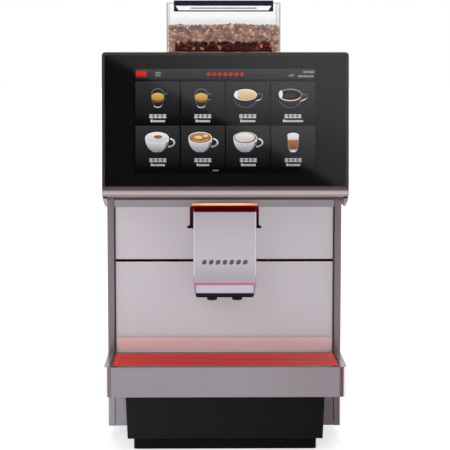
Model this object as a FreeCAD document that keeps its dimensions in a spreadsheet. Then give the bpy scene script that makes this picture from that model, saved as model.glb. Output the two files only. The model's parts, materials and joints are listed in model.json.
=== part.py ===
import FreeCAD, Part
import math
import os
import re
import Sketcher

# Table-top bean-to-cup coffee vending machine.
# Millimetres.  X to the right, Y to the back (the front faces -Y), Z up.
# The origin is on the counter, under the middle of the machine.

V = FreeCAD.Vector
doc = FreeCAD.newDocument("coffee_machine")
sheet = doc.addObject("Spreadsheet::Sheet", "dim")
VAL = {}


def dim(name, value):
    row = len(VAL) + 1
    sheet.set("A%d" % row, name)
    sheet.set("B%d" % row, repr(float(value)))
    sheet.setAlias("B%d" % row, name)
    VAL[name] = float(value)


# overall body
dim("body_half", 206.5)
dim("front_y", -125.0)
dim("back_y", 250.0)
dim("body_top", 672.0)
dim("skirt_z", 19.0)
dim("gap", 0.3)
dim("sheet_t", 1.5)
dim("pillar_w", 12.0)
dim("pillar_d", 30.0)
dim("side_y0", -94.7)
# base
dim("plinth_half", 157.5)
dim("plinth_y0", -222.0)
dim("plinth_y1", 240.0)
dim("plinth_top", 18.7)
dim("foot_r", 13.0)
dim("housing_half_t", 170.9)
dim("housing_half_b", 167.8)
dim("housing_top", 100.0)
dim("housing_y0", -223.1)
dim("drawer_y0", -229.0)
dim("drawer_y1", 60.0)
dim("drawer_half", 163.0)
dim("drawer_h", 90.0)
# tray
dim("tray_y0", -270.0)
dim("tray_y1", -125.4)
dim("tray_z0", 100.4)
dim("tray_z1", 152.0)
dim("tray_corner", 14.0)
dim("tray_rim", 14.0)
# fascias and header
dim("fascia_half", 192.2)
dim("fascia_y", -115.0)
dim("fascia_low", 118.3)
dim("fascia_split_a", 312.6)
dim("fascia_split_b", 316.4)
dim("fascia_top", 410.3)
dim("notch_half", 61.0)
dim("notch_z", 372.0)
dim("header_z0", 411.2)
dim("header_z1", 440.0)
dim("header_y", -123.0)
dim("led_half", 57.7)
dim("led_z0", 412.7)
dim("led_z1", 417.3)
# head
dim("head_half", 206.5)
dim("head_y", -270.0)
dim("head_z0", 439.3)
dim("head_z1", 681.8)
dim("head_tilt", 4.85)
dim("head_depth", 22.0)
dim("chin_z", 457.8)
dim("cheek_t", 7.8)
dim("cheek_z", 424.5)
dim("head_back", -127.0)
dim("frame_w", 4.3)
dim("glass_t", 3.0)
dim("hinge_y", -120.0)
dim("hinge_z", 677.4)
dim("hinge_r", 4.4)
dim("hinge_pin_r", 2.5)
dim("pin_fit", 0.05)
# spout
dim("spout_half", 54.5)
dim("spout_y0", -185.0)
dim("spout_y1", -115.6)
dim("spout_z0", 280.7)
dim("spout_z1", 408.0)
dim("core_z", 266.0)
dim("base_z", 258.4)
dim("nozzle_x", 22.0)
dim("nozzle_y", -150.0)
dim("nozzle_r", 9.2)
dim("nozzle_bore", 5.0)
dim("nozzle_z", 249.8)
dim("arm_half", 28.0)
dim("arm_z0", 375.5)
dim("arm_z1", 404.5)
# hopper
dim("hop_half", 103.7)
dim("hop_y0", -15.0)
dim("hop_y1", 130.0)
dim("hop_z0", 672.4)
dim("hop_z1", 771.0)
dim("hop_wall", 2.5)
dim("hop_step", 701.0)
dim("hop_floor", 679.6)
dim("lid_half", 90.0)
dim("lid_y0", -5.5)
dim("lid_y1", 108.0)
dim("lid_z0", 755.0)
dim("lid_z1", 775.0)
dim("neck_r", 34.0)
dim("neck_bore", 28.0)
dim("neck_y", 57.5)
dim("bean_z", 735.0)
# brewing and grinding
dim("brew_y", -10.0)
dim("rod_x", 44.0)
dim("rod_r", 5.0)
dim("screw_y", 36.0)
dim("screw_r", 5.0)
dim("chamber_r", 21.0)
dim("deck_z", 448.0)
dim("boiler_r", 44.0)
dim("boiler_h", 190.0)
dim("pump_r", 26.0)
dim("fan_x", -110.0)
dim("fan_z", 590.0)
dim("fan_half", 46.0)
dim("inlet_x", 120.0)
dim("inlet_z", 66.0)
dim("inlet_r", 13.2)
dim("drain_x", 62.0)
dim("drain_z", 48.0)
dim("drain_r", 8.0)
dim("power_x", -140.0)
dim("power_z", 70.0)
doc.recompute()

WORD = re.compile(r"[A-Za-z_][A-Za-z_0-9]*")


def ex(e):
    # a plain number, or arithmetic on sheet names
    if isinstance(e, (int, float)):
        return repr(float(e))
    return WORD.sub(lambda m: "dim." + m.group(0) if m.group(0) in VAL else m.group(0), e)


def rect(u0, v0, u1, v1):
    return [(u0, v0), (u1, v0), (u1, v1), (u0, v1)]


def mirror_u(loop):
    return [("-(%s)" % u, v) for u, v in reversed(loop)]


def circle(u, v, r):
    return ("circle", u, v, r)


class Body:
    """A PartDesign body whose sketches and lengths are bound to the sheet."""

    PLANES = {"z": "XY_Plane", "y": "XZ_Plane", "x": "YZ_Plane"}

    def __init__(self, name):
        self.name = name
        self.b = doc.addObject("PartDesign::Body", name)
        self.b.Label = name
        self.n = 0

    def sketch(self, axis, offset, loops):
        self.n += 1
        s = self.b.newObject("Sketcher::SketchObject", "%s_sk%d" % (self.name, self.n))
        plane = [o for o in self.b.Origin.OriginFeatures if o.Role == self.PLANES[axis]][0]
        s.AttachmentSupport = [(plane, "")]
        s.MapMode = "FlatFace"
        s.setExpression("AttachmentOffset.Base.z", ex(offset))
        geo, cons, bind = [], [], []
        for k, loop in enumerate(loops):
            if isinstance(loop, tuple):
                g = len(geo)
                geo.append(Part.Circle(V(3 * k, 0, 0), V(0, 0, 1), 1.0))
                for kind, e in (("DistanceX", loop[1]), ("DistanceY", loop[2])):
                    bind.append((len(cons), e))
                    cons.append(Sketcher.Constraint(kind, -1, 1, g, 3, 1.0))
                bind.append((len(cons), loop[3]))
                cons.append(Sketcher.Constraint("Radius", g, 1.0))
                continue
            n, g0 = len(loop), len(geo)
            pts = [V(3 * k + math.cos(2 * math.pi * i / n), math.sin(2 * math.pi * i / n), 0)
                   for i in range(n)]
            for i in range(n):
                geo.append(Part.LineSegment(pts[i], pts[(i + 1) % n]))
            for i in range(n):
                cons.append(Sketcher.Constraint("Coincident", g0 + i, 2, g0 + (i + 1) % n, 1))
            for i, (u, v) in enumerate(loop):
                bind.append((len(cons), u))
                cons.append(Sketcher.Constraint("DistanceX", -1, 1, g0 + i, 1, 1.0))
                bind.append((len(cons), v))
                cons.append(Sketcher.Constraint("DistanceY", -1, 1, g0 + i, 1, 1.0))
        s.addGeometry(geo, False)
        s.addConstraint(cons)
        for k, e in bind:
            s.setExpression("Constraints[%d]" % k, ex(e))
        return s

    def feature(self, kind, sketch):
        self.n += 1
        f = self.b.newObject("PartDesign::" + kind, "%s_f%d" % (self.name, self.n))
        f.Profile = sketch
        self.b.Tip = f
        return f

    # pads and pockets between two planes square to an axis
    def add(self, axis, lo, hi, *loops, **kw):
        off = "-(%s)" % hi if axis == "y" else lo
        f = self.feature("Pad", self.sketch(axis, off, loops))
        f.setExpression("Length", ex("(%s) - (%s)" % (hi, lo)))
        if "taper" in kw:
            f.TaperAngle = kw["taper"]
        return self

    def cut(self, axis, lo, hi, *loops, **kw):
        off = "-(%s)" % lo if axis == "y" else hi
        f = self.feature("Pocket", self.sketch(axis, off, loops))
        f.setExpression("Length", ex("(%s) - (%s)" % (hi, lo)))
        if "taper" in kw:
            f.TaperAngle = kw["taper"]
        return self

    def turn(self, loop, at_x, at_y):
        # revolved about the vertical line through (at_x, at_y); loop in (radius, z)
        pts = [("(%s) + (%s)" % (at_x, u), v) for u, v in loop]
        s = self.sketch("y", "-(%s)" % at_y, [pts])
        n = len(loop)
        a = s.addGeometry(Part.LineSegment(V(0, 0, 0), V(0, 5, 0)), True)
        k = s.addConstraint(Sketcher.Constraint("Vertical", a))
        k = s.addConstraint(Sketcher.Constraint("DistanceX", -1, 1, a, 1, 1.0))
        s.setExpression("Constraints[%d]" % k, ex(at_x))
        f = self.feature("Revolution", s)
        f.ReferenceAxis = (s, ["Axis0"])
        f.Angle = 360.0
        return self

    def edges(self, test):
        doc.recompute()
        shape = self.b.Tip.Shape
        out = []
        for i, e in enumerate(shape.Edges):
            b = e.BoundBox
            if test(b.Center, (b.XLength, b.YLength, b.ZLength), e):
                out.append("Edge%d" % (i + 1))
        if not out:
            raise RuntimeError("no edge found on " + self.name)
        return out

    def fillet(self, test, r):
        names = self.edges(test)
        base = self.b.Tip
        self.n += 1
        f = self.b.newObject("PartDesign::Fillet", "%s_f%d" % (self.name, self.n))
        f.Base = (base, names)
        f.setExpression("Radius", ex(r))
        self.b.Tip = f
        return self

    def chamfer(self, test, r):
        names = self.edges(test)
        base = self.b.Tip
        self.n += 1
        f = self.b.newObject("PartDesign::Chamfer", "%s_f%d" % (self.name, self.n))
        f.Base = (base, names)
        f.setExpression("Size", ex(r))
        self.b.Tip = f
        return self


def upright(x=None, y=None, tol=0.4, zmid=None):
    # vertical edges at |x| and y
    def test(c, d, e):
        if d[0] > 0.05 or d[1] > 0.05 or d[2] < 0.5:
            return False
        if x is not None and abs(abs(c.x) - x) > tol:
            return False
        if y is not None and min(abs(c.y - q) for q in (y if isinstance(y, (list, tuple)) else [y])) > tol:
            return False
        return zmid is None or abs(c.z - zmid) < tol
    return test


def along(axis, x=None, y=None, z=None, tol=0.4):
    k = "xyz".index(axis)

    def test(c, d, e):
        if d[k] < 0.5 or any(d[j] > 0.05 for j in range(3) if j != k):
            return False
        if x is not None and abs(abs(c.x) - x) > tol:
            return False
        if y is not None and abs(c.y - y) > tol:
            return False
        return z is None or abs(c.z - z) < tol
    return test


PARTS = []


def part(name):
    b = Body(name)
    PARTS.append(b.b)
    return b


def group(name, placements, proto):
    """Identical pieces in one node: copies of a prototype body joined as a compound."""
    f = doc.addObject("Part::Feature", name)
    f.Label = name
    doc.recompute()
    f.Shape = Part.makeCompound([proto.b.Shape.copy().translated(V(*p)) for p in placements])
    PARTS.append(f)
    return f


def proto(name):
    return Body(name)


# ------------------------------------------------------------------ base
b = part("base_plate")
b.add("z", "skirt_z", "skirt_z + 2",
      [("-192.2", "-120.5"), ("192.2", "-120.5"), ("192.2", "-93"), ("204.8", "-93"), ("204.8", "246.4"), ("192", "246.4"),
       ("192", "248.2"), ("-192", "248.2"), ("-192", "246.4"), ("-204.8", "246.4"), ("-204.8", "-93"), ("-192.2", "-93")])
b.cut("z", "skirt_z", "skirt_z + 2", circle("-180", "-80", "3.3"), circle("180", "-80", "3.3"),
      circle("-180", "200", "3.3"), circle("180", "200", "3.3"))

b = part("plinth")
b.add("z", "0.4", "plinth_top", rect("-plinth_half", "plinth_y0", "plinth_half", "plinth_y1"))
b.fillet(upright(VAL["plinth_half"]), "6")
b.cut("z", "0.4", "plinth_top - 3", rect("-plinth_half + 4", "plinth_y0 + 4", "plinth_half - 4", "plinth_y1 - 4"))

p = proto("foot_proto")
p.add("z", "0", "plinth_top - 3.2", circle("0", "0", "foot_r"))
p.chamfer(lambda c, d, e: c.z < 0.1, "1.5")
group("rubber_feet", [(-136, -200, 0), (136, -200, 0), (-136, 218, 0), (136, 218, 0)], p)

b = part("drawer_housing")
b.add("y", "housing_y0", "-60",
      [("-housing_half_b", "skirt_z + 2.3"), ("-housing_half_t", "housing_top"),
       ("housing_half_t", "housing_top"), ("housing_half_b", "skirt_z + 2.3"),
       ("housing_half_b - 1.6", "skirt_z + 2.3"), ("housing_half_t - 1.7", "housing_top - 1.6"),
       ("-housing_half_t + 1.7", "housing_top - 1.6"), ("-housing_half_b + 1.6", "skirt_z + 2.3")])

b = part("grounds_drawer")
b.add("y", "drawer_y0", "drawer_y0 + 5.5",
      [("-168", "skirt_z + 0.2"), ("168", "skirt_z + 0.2"), ("171.3", "housing_top - 0.6"), ("-171.3", "housing_top - 0.6")])
b.add("z", "skirt_z + 2.3", "drawer_h", rect("-drawer_half", "drawer_y0 + 5", "drawer_half", "drawer_y1"))
b.fillet(upright(VAL["drawer_half"], VAL["drawer_y1"]), "9")
b.cut("z", "skirt_z + 4.6", "drawer_h", rect("-drawer_half + 2.3", "drawer_y0 + 8", "drawer_half - 2.3", "drawer_y1 - 2.3"))
b.cut("y", "drawer_y0 - 1", "drawer_y0 + 5.5", rect("-46", "drawer_h + 0.8", "46", "housing_top + 1"))
b.fillet(along("x", y=VAL["drawer_y0"], z=VAL["skirt_z"] + 0.2), "2")

b = part("front_skirt")
b.add("y", "front_y + 1.8", "front_y + 3.3", rect("-194.2", "skirt_z", "194.2", "117.6"))
b.cut("y", "front_y + 1.8", "front_y + 3.3", rect("-172.4", "skirt_z - 1", "172.4", "housing_top + 0.4"),
      circle("-120", "108.8", "4.3"), circle("120", "108.8", "4.3"))

# ------------------------------------------------------------------ cabinet
for side, sg in (("left", "-1"), ("right", "1")):
    b = part("pillar_" + side)
    if sg == "1":
        r0, r1 = "body_half - pillar_w", "body_half"
        i0, i1 = "body_half - pillar_w + 1.6", "body_half - 1.6"
    else:
        r0, r1 = "-body_half", "-body_half + pillar_w"
        i0, i1 = "-body_half + 1.6", "-body_half + pillar_w - 1.6"
    b.add("z", "skirt_z", "body_top - 3.3", rect(r0, "front_y", r1, "front_y + pillar_d"))
    b.fillet(upright(VAL["body_half"], VAL["front_y"]), "3")
    b.fillet(upright(VAL["body_half"] - VAL["pillar_w"], VAL["front_y"]), "1")
    b.cut("z", "skirt_z", "body_top - 3.3", rect(i0, "front_y + 4", i1, "front_y + pillar_d - 1.6"))

    b = part("side_panel_" + side)
    pts = [("body_half - 1.5", "side_y0 + 1.5"), ("body_half - 14", "side_y0 + 1.5"), ("body_half - 14", "side_y0"),
           ("body_half", "side_y0"), ("body_half", "back_y - 1.8"), ("body_half - 14", "back_y - 1.8"),
           ("body_half - 14", "back_y - 3.3"), ("body_half - 1.5", "back_y - 3.3")]
    if sg == "-1":
        pts = mirror_u(pts)
    b.add("z", "skirt_z", "body_top - 3.3", pts)
    b.cut("y", "back_y - 5", "back_y - 1", *[circle(("196" if sg == "1" else "-196"), z, "1.66") for z in ("40", "240", "440", "640")])
    slots = []
    for k in range(9):
        y = 110 + 13 * k
        slots.append(rect(str(y), "548", str(y + 5), "612"))
        slots.append(rect(str(y), "92", str(y + 5), "140"))
    if sg == "1":
        b.cut("x", "body_half - 2", "body_half + 1", *slots)
    else:
        b.cut("x", "-body_half - 1", "-body_half + 2", *slots)

b = part("rear_panel")
b.add("y", "back_y - 1.5", "back_y", rect("-203.5", "skirt_z", "203.5", "body_top - 3.3"))
holes = [circle("inlet_x", "inlet_z", "inlet_r + 1.2"), circle("drain_x", "drain_z", "drain_r + 0.6"),
         circle("fan_x", "fan_z", "41"),
         rect("power_x - 27.5", "power_z - 14.5", "power_x + 27.5", "power_z + 14.5")]
b.cut("y", "back_y - 1.5", "back_y", *holes)
b.cut("y", "back_y - 1.5", "back_y", *[circle(x, z, "1.66") for x in ("-196", "196") for z in ("40", "240", "440", "640")])
b.cut("y", "back_y - 1.5", "back_y", *[rect(str(40 + 14 * k), "560", str(45 + 14 * k), "620") for k in range(9)])

b = part("top_rail")
b.add("x", "-194.1", "194.1",
      [("front_y + 1", "620"), ("front_y + 1", "body_top - 3.3"), ("front_y + 27", "body_top - 3.3"),
       ("front_y + 27", "body_top - 5.3"), ("front_y + 3", "body_top - 5.3"), ("front_y + 3", "622"),
       ("front_y + 27", "622"), ("front_y + 27", "620")])

b = part("top_cover")
b.add("z", "body_top - 3", "body_top", rect("-body_half", "front_y", "body_half", "back_y"))
b.fillet(upright(VAL["body_half"], VAL["back_y"]), "3")
b.fillet(upright(VAL["body_half"], VAL["front_y"]), "3")
b.cut("z", "body_top - 3", "body_top", circle("0", "neck_y", "neck_r + 1.5"))
b.fillet(along("x", y=VAL["back_y"], z=VAL["body_top"]), "1.2")

b = part("head_bulkhead")
b.add("y", "front_y + 12", "front_y + 13.5", rect("-194.1", "header_z1 + 0.3", "194.1", "619.7"))
b.cut("y", "front_y + 12", "front_y + 13.5", circle("-150", "560", "14"),
      *[rect(str(-60 + 16 * k), "470", str(-54 + 16 * k), "530") for k in range(8)])

b = part("header_bar")
b.add("x", "-194.1", "194.1",
      [("header_y", "header_z0"), ("header_y", "header_z1"), ("header_y + 23", "header_z1"),
       ("header_y + 23", "header_z1 - 2"), ("header_y + 2", "header_z1 - 2"), ("header_y + 2", "header_z0 + 2"),
       ("header_y + 23", "header_z0 + 2"), ("header_y + 23", "header_z0")])
b.cut("y", "header_y - 1", "header_y + 9", rect("-led_half - 0.5", "header_z0 - 1", "led_half + 0.5", "led_z1 + 0.3"))

b = part("led_strip")
b.add("y", "header_y + 0.8", "header_y + 5.5", rect("-led_half", "led_z0", "led_half", "led_z1"))
b.add("y", "header_y + 5", "header_y + 7", rect("-led_half + 3", "led_z0 + 0.2", "led_half - 3", "led_z1 + 0.1"))
b.fillet(along("x", y=VAL["header_y"] + 0.8), "1")

# ------------------------------------------------------------------ front panels
CH = [("-fascia_half", "fascia_y"), ("fascia_half", "fascia_y"), ("fascia_half", "fascia_y + 11"),
      ("fascia_half - 1.8", "fascia_y + 11"), ("fascia_half - 1.8", "fascia_y + 1.8"),
      ("-fascia_half + 1.8", "fascia_y + 1.8"), ("-fascia_half + 1.8", "fascia_y + 11"),
      ("-fascia_half", "fascia_y + 11")]
b = part("upper_fascia")
b.add("z", "fascia_split_b", "fascia_top", CH)
b.cut("y", "fascia_y - 1", "fascia_y + 3",
      [("-notch_half", "fascia_top + 1"), ("-notch_half", "notch_z + 6"), ("-notch_half - 4.5", "notch_z + 3.4"),
       ("-notch_half - 4.5", "notch_z"), ("-arm_half - 3", "notch_z"), ("-arm_half - 3", "fascia_split_b + 2.8"),
       ("arm_half + 3", "fascia_split_b + 2.8"), ("arm_half + 3", "notch_z"), ("notch_half + 4.5", "notch_z"),
       ("notch_half + 4.5", "notch_z + 3.4"), ("notch_half", "notch_z + 6"), ("notch_half", "fascia_top + 1")])

b = part("lower_fascia")
b.add("z", "fascia_low", "fascia_split_a", CH)

b = part("spout_guide")
b.add("y", "fascia_y + 2.1", "fascia_y + 5.1", rect("-74", "302", "74", "410.6"))
b.cut("y", "fascia_y + 2.1", "fascia_y + 5.1", rect("-arm_half - 3", "319.2", "arm_half + 3", "406"))
b.add("z", "302", "310", rect("36", "fascia_y + 4.5", "60", "fascia_y + 19"))
b.add("z", "302", "310", rect("-60", "fascia_y + 4.5", "-36", "fascia_y + 19"))
b.add("z", "406", "410.6", rect("36", "fascia_y + 4.5", "60", "fascia_y + 19"))
b.add("z", "406", "410.6", rect("-60", "fascia_y + 4.5", "-36", "fascia_y + 19"))
b.add("z", "302", "410.6", circle("49", "fascia_y + 13", "3.5"))
b.add("z", "302", "410.6", circle("-49", "fascia_y + 13", "3.5"))

# ------------------------------------------------------------------ moving spout
b = part("spout_cover")
b.add("z", "spout_z0", "spout_z1", rect("-spout_half", "spout_y0", "spout_half", "spout_y1"))
b.fillet(upright(VAL["spout_half"], VAL["spout_y0"]), "5")
b.fillet(lambda c, d, e: c.z > VAL["spout_z1"] - 0.05 and c.y < VAL["spout_y1"] - 1, "1.2")
b.cut("z", "spout_z0", "spout_z1 - 2.5", rect("-spout_half + 2.6", "spout_y0 + 2.6", "spout_half - 2.6", "spout_y1 - 2.6"))
b.cut("y", "spout_y1 - 3", "spout_y1 + 1", rect("-arm_half - 0.8", "arm_z0 - 0.8", "arm_half + 0.8", "arm_z1 + 0.3"))

b = part("spout_carriage")
b.add("y", "-121", "-106", rect("-arm_half", "arm_z0", "arm_half", "arm_z1"))
b.add("y", "-122.6", "-118.6", rect("-arm_half - 8", "arm_z0 - 6", "arm_half + 8", "arm_z1"))
b.add("y", "-109.4", "-95", rect("-58", "arm_z0", "58", "arm_z1"))
b.cut("z", "arm_z0", "arm_z1", circle("49", "fascia_y + 13", "3.55"), circle("-49", "fascia_y + 13", "3.55"))
b.cut("y", "-123", "-94", circle("-12", "390", "6"), circle("12", "390", "6"))

b = part("spout_core")
b.add("y", "spout_y0 + 1.4", "spout_y1 - 0.6",
      [("-spout_half + 2", "core_z"), ("spout_half - 2", "core_z"),
       ("spout_half - 0.8", "spout_z0 - 0.3"), ("-spout_half + 0.8", "spout_z0 - 0.3")])
b.fillet(lambda c, d, e: c.y < VAL["spout_y0"] + 1.6 and d[1] < 0.1 and d[2] > 5, "3.5")
b.add("z", "spout_z0 - 1", "318", rect("-spout_half + 6", "spout_y0 + 6", "spout_half - 6", "spout_y1 - 6"))
b.cut("z", "core_z", "318", circle("-nozzle_x", "nozzle_y", "nozzle_r + 0.4"), circle("nozzle_x", "nozzle_y", "nozzle_r + 0.4"))

b = part("spout_base")
b.add("y", "spout_y0 + 1.4", "spout_y1 - 0.6",
      [("-spout_half + 4.2", "base_z"), ("spout_half - 4.2", "base_z"),
       ("spout_half - 3.2", "core_z - 0.3"), ("-spout_half + 3.2", "core_z - 0.3")])
b.fillet(lambda c, d, e: c.y < VAL["spout_y0"] + 1.6 and d[1] < 0.1 and d[2] > 5, "4.5")
b.cut("z", "base_z", "core_z", circle("-nozzle_x", "nozzle_y", "nozzle_r + 0.4"), circle("nozzle_x", "nozzle_y", "nozzle_r + 0.4"))
b.chamfer(lambda c, d, e: c.z < VAL["base_z"] + 0.05 and c.y < -120 and abs(c.x) < 1 and d[0] > 40, "1.5")

p = proto("nozzle_proto")
p.turn([("nozzle_bore", "nozzle_z"), ("nozzle_r - 1", "nozzle_z"), ("nozzle_r", "nozzle_z + 2"), ("nozzle_r", "300"),
        ("nozzle_bore + 1.5", "304"), ("nozzle_bore + 1.5", "322"), ("nozzle_bore", "322")], "0", "nozzle_y")
group("outlet_nozzles", [(-VAL["nozzle_x"], 0, 0), (VAL["nozzle_x"], 0, 0)], p)

# ------------------------------------------------------------------ drip tray
b = part("tray_frame")
b.add("z", "tray_z0", "tray_z1", rect("-body_half", "tray_y0", "body_half", "tray_y1"))
b.fillet(upright(VAL["body_half"], VAL["tray_y0"]), "tray_corner")
b.fillet(lambda c, d, e: c.z > VAL["tray_z1"] - 0.05 and c.y < VAL["tray_y1"] - 1, "1.5")
b.cut("z", "tray_z1 - 4.5", "tray_z1", rect("-body_half + tray_rim", "tray_y0 + 13.5", "body_half - tray_rim", "tray_y1 - 5"))
b.cut("z", "tray_z0 + 2.6", "tray_z1 - 4.5", rect("-body_half + tray_rim + 7", "tray_y0 + 20", "body_half - tray_rim - 7", "tray_y1 - 11"))
b.add("y", "tray_y1 - 1", "tray_y1 + 10", circle("-120", "108.8", "3.8"), circle("120", "108.8", "3.8"))

b = part("drip_grille")
b.add("z", "tray_z1 - 4.3", "tray_z1 - 0.6", rect("-body_half + tray_rim + 0.4", "tray_y0 + 13.9", "body_half - tray_rim - 0.4", "tray_y1 - 5.4"))
b.cut("z", "tray_z1 - 2.4", "tray_z1", *[rect("-183", str(y), "183", str(y + 4)) for y in range(-247, -139, 12)])
b.cut("z", "tray_z1 - 5", "tray_z1 - 2.3", *[rect(str(x), str(y), str(x + 82), str(y + 4))
                                             for x in (-179, -87.67, 3.67, 95) for y in range(-247, -139, 12)])

# ------------------------------------------------------------------ display head
TAN = math.tan(math.radians(VAL["head_tilt"]))
dim("head_slope", round(TAN, 8))
COS = "cos(head_tilt * 1 deg)"


def face(z, d=0.0):
    # y of a plane parallel to the sloped front, d behind it, at height z
    return "head_y + ((%s) - head_z0) * head_slope + (%s)" % (z, d)


def slab(z0, z1, d0, d1):
    return [(face(z0, d0), z0), (face(z0, d1), z0), (face(z1, d1), z1), (face(z1, d0), z1)]


b = part("bezel")
b.add("x", "-head_half", "head_half",
      [(face("head_z0", 8), "head_z0"), (face("head_z0", 1.6), "head_z0 + 2.2"), (face("head_z0", 0), "head_z0 + 8.2"),
       (face("chin_z - 5.4", 0), "chin_z - 5.4"), (face("chin_z", 2.6), "chin_z"), (face("chin_z + 1", 0.2), "chin_z + 1"),
       (face("head_z1", 0.2), "head_z1"), (face("head_z1", "head_depth"), "head_z1"),
       (face("head_z0", "head_depth"), "head_z0")])
b.cut("x", "-head_half + frame_w", "head_half - frame_w", slab("chin_z", "head_z1 - frame_w", -2, "glass_t + 0.3"))
b.cut("x", "-170", "170", slab("470", "668", 0, "head_depth + 2"))
b.fillet(lambda c, d, e: abs(abs(c.x) - VAL["head_half"]) < 0.1 and c.z > VAL["head_z1"] - 0.1 and d[1] > 5, "6")
b.fillet(lambda c, d, e: abs(abs(c.x) - VAL["head_half"]) < 0.1 and c.z < VAL["head_z0"] + 0.1 and d[1] > 5, "3")

b = part("cover_glass")
b.add("x", "-head_half + frame_w + 0.2", "head_half - frame_w - 0.2", slab("chin_z + 0.4", "head_z1 - frame_w - 0.2", 0.1, "glass_t"))

b = part("lcd_panel")
b.add("x", "-162", "163", slab("476", "661", "glass_t + 0.3", "glass_t + 7"))

b = part("display_board")
b.add("x", "-178", "178", slab("474.5", "666", "glass_t + 20.2", "glass_t + 21.8"))
b.add("x", "-70", "60", slab("520", "610", "glass_t + 21", "glass_t + 31"))

b = part("head_shell")
CK = [("head_back", "cheek_z"), ("head_back", "head_z1"), (face("head_z1", "head_depth + 0.3"), "head_z1"),
      (face("head_z0 + 6", "head_depth + 0.3"), "head_z0 + 6"), (face("head_z0 - 0.6", "head_depth + 0.3"), "head_z0 - 0.6"),
      (face("head_z0 - 0.6", "3"), "head_z0 - 0.6"), (face("cheek_z", "3"), "cheek_z")]
b.add("x", "head_half - cheek_t", "head_half", CK)
b.fillet(lambda c, d, e: d[0] > 3 and c.z < VAL["cheek_z"] + 0.1 and c.y < -200, "7")
b.add("x", "-head_half", "-head_half + cheek_t", CK)
b.cut("y", "-275", "head_back + 1",
      [("head_half + 1", "head_z0 + 1"), ("head_half", "head_z0 + 1"), ("head_half - 1", "head_z0 - 3"),
       ("head_half - 5.2", "cheek_z"), ("head_half - 5.6", "cheek_z - 1"), ("head_half + 1", "cheek_z - 1")],
      [("-head_half - 1", "head_z0 + 1"), ("-head_half", "head_z0 + 1"), ("-head_half + 1", "head_z0 - 3"),
       ("-head_half + 5.2", "cheek_z"), ("-head_half + 5.6", "cheek_z - 1"), ("-head_half - 1", "cheek_z - 1")])
b.add("z", "head_z1 - 4", "head_z1", rect("-head_half + 1", face("head_z1", "head_depth + 0.3"), "head_half - 1", "head_back"))
for x0 in ("-180", "150"):
    b.add("x", x0, "%s + 30" % x0, rect("head_back - 3", "head_z1 - 4", "hinge_y", "head_z1"))
    b.add("x", x0, "%s + 30" % x0, circle("hinge_y", "hinge_z", "hinge_r"))
    b.cut("x", "%s - 1" % x0, "%s + 31" % x0, circle("hinge_y", "hinge_z", "hinge_pin_r + pin_fit"))
b.fillet(lambda c, d, e: d[1] > 60 and c.z > VAL["head_z1"] - 0.1 and abs(abs(c.x) - VAL["head_half"]) < 0.1, "5.9")

p = proto("hinge_proto")
p.add("x", "0", "11.7", rect("hinge_y - 4.4", "body_top + 0.2", "hinge_y + 4.4", "hinge_z"), )
p.add("x", "0", "11.7", circle("hinge_y", "hinge_z", "hinge_r"))
p.cut("x", "-1", "13", circle("hinge_y", "hinge_z", "hinge_pin_r + 0.05"))
group("head_hinges", [(138, 0, 0), (180.3, 0, 0), (-149.7, 0, 0), (-192, 0, 0)], p)

p = proto("hinge_pin_proto")
p.add("x", "0", "55", circle("hinge_y", "hinge_z", "hinge_pin_r"))
group("hinge_pins", [(137.5, 0, 0), (-192.5, 0, 0)], p)

# ------------------------------------------------------------------ bean hopper
b = part("hopper_body")
b.add("z", "hop_z0", "hop_z1", rect("-hop_half", "hop_y0", "hop_half", "hop_y1"))
b.fillet(upright(VAL["hop_half"]), "8")
b.cut("z", "hop_step", "hop_z1 - 2.5", rect("-hop_half + hop_wall", "hop_y0 + hop_wall", "hop_half - hop_wall", "hop_y1 - hop_wall"))
b.cut("z", "hop_z1 - 3", "hop_z1", rect("-lid_half - 0.5", "lid_y0 - 2.5", "lid_half + 0.5", "lid_y1 + 0.6"))
b.cut("z", "hop_floor", "hop_step + 0.1", rect("-hop_half + hop_wall", "hop_y0 + hop_wall", "hop_half - hop_wall", "hop_y1 - hop_wall"))
b.add("z", "642", "hop_z0 + 1", circle("0", "neck_y", "neck_r"))
b.cut("z", "641", "hop_floor + 1", circle("0", "neck_y", "neck_bore"))
b.cut("y", "hop_y0 - 1", "neck_y + 36", rect("-32.3", "674.6", "32.3", "677.9"))
b.add("x", "-88", "-60", circle("120", "773.9", "2.3"), )
b.add("x", "60", "88", circle("120", "773.9", "2.3"), )
b.add("x", "-88", "-60", rect("117.7", "hop_z1 - 1", "122.3", "773.9"))
b.add("x", "60", "88", rect("117.7", "hop_z1 - 1", "122.3", "773.9"))
b.cut("x", "-89", "89", circle("120", "773.9", "1.3"))

b = part("hopper_lid")
b.add("z", "lid_z1 - 3", "lid_z1", rect("-lid_half", "lid_y0", "lid_half", "lid_y1"))
b.add("y", "lid_y0", "lid_y0 + 7", rect("-lid_half", "lid_z0", "lid_half", "lid_z1 - 2"))
b.add("z", "lid_z1 - 9", "lid_z1 - 2", rect("-lid_half", "lid_y0 + 1", "-lid_half + 3", "lid_y1"),
      rect("lid_half - 3", "lid_y0 + 1", "lid_half", "lid_y1"))
b.cut("y", "lid_y0 - 1", "lid_y0 + 3",
      [("-81.5", "lid_z0 + 2"), ("81.5", "lid_z0 + 2"), ("87.5", "lid_z0 + 10.5"), ("-87.5", "lid_z0 + 10.5")])
b.add("x", "-59.6", "59.6", rect("lid_y1 - 2", "hop_z1 + 0.6", "120", "lid_z1"))
b.add("x", "-59.6", "59.6", circle("120", "773.9", "2.3"))
b.cut("x", "-60", "60", circle("120", "773.9", "1.36"))
b.fillet(along("x", y=VAL["lid_y0"], z=VAL["lid_z1"]), "1.5")

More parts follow.
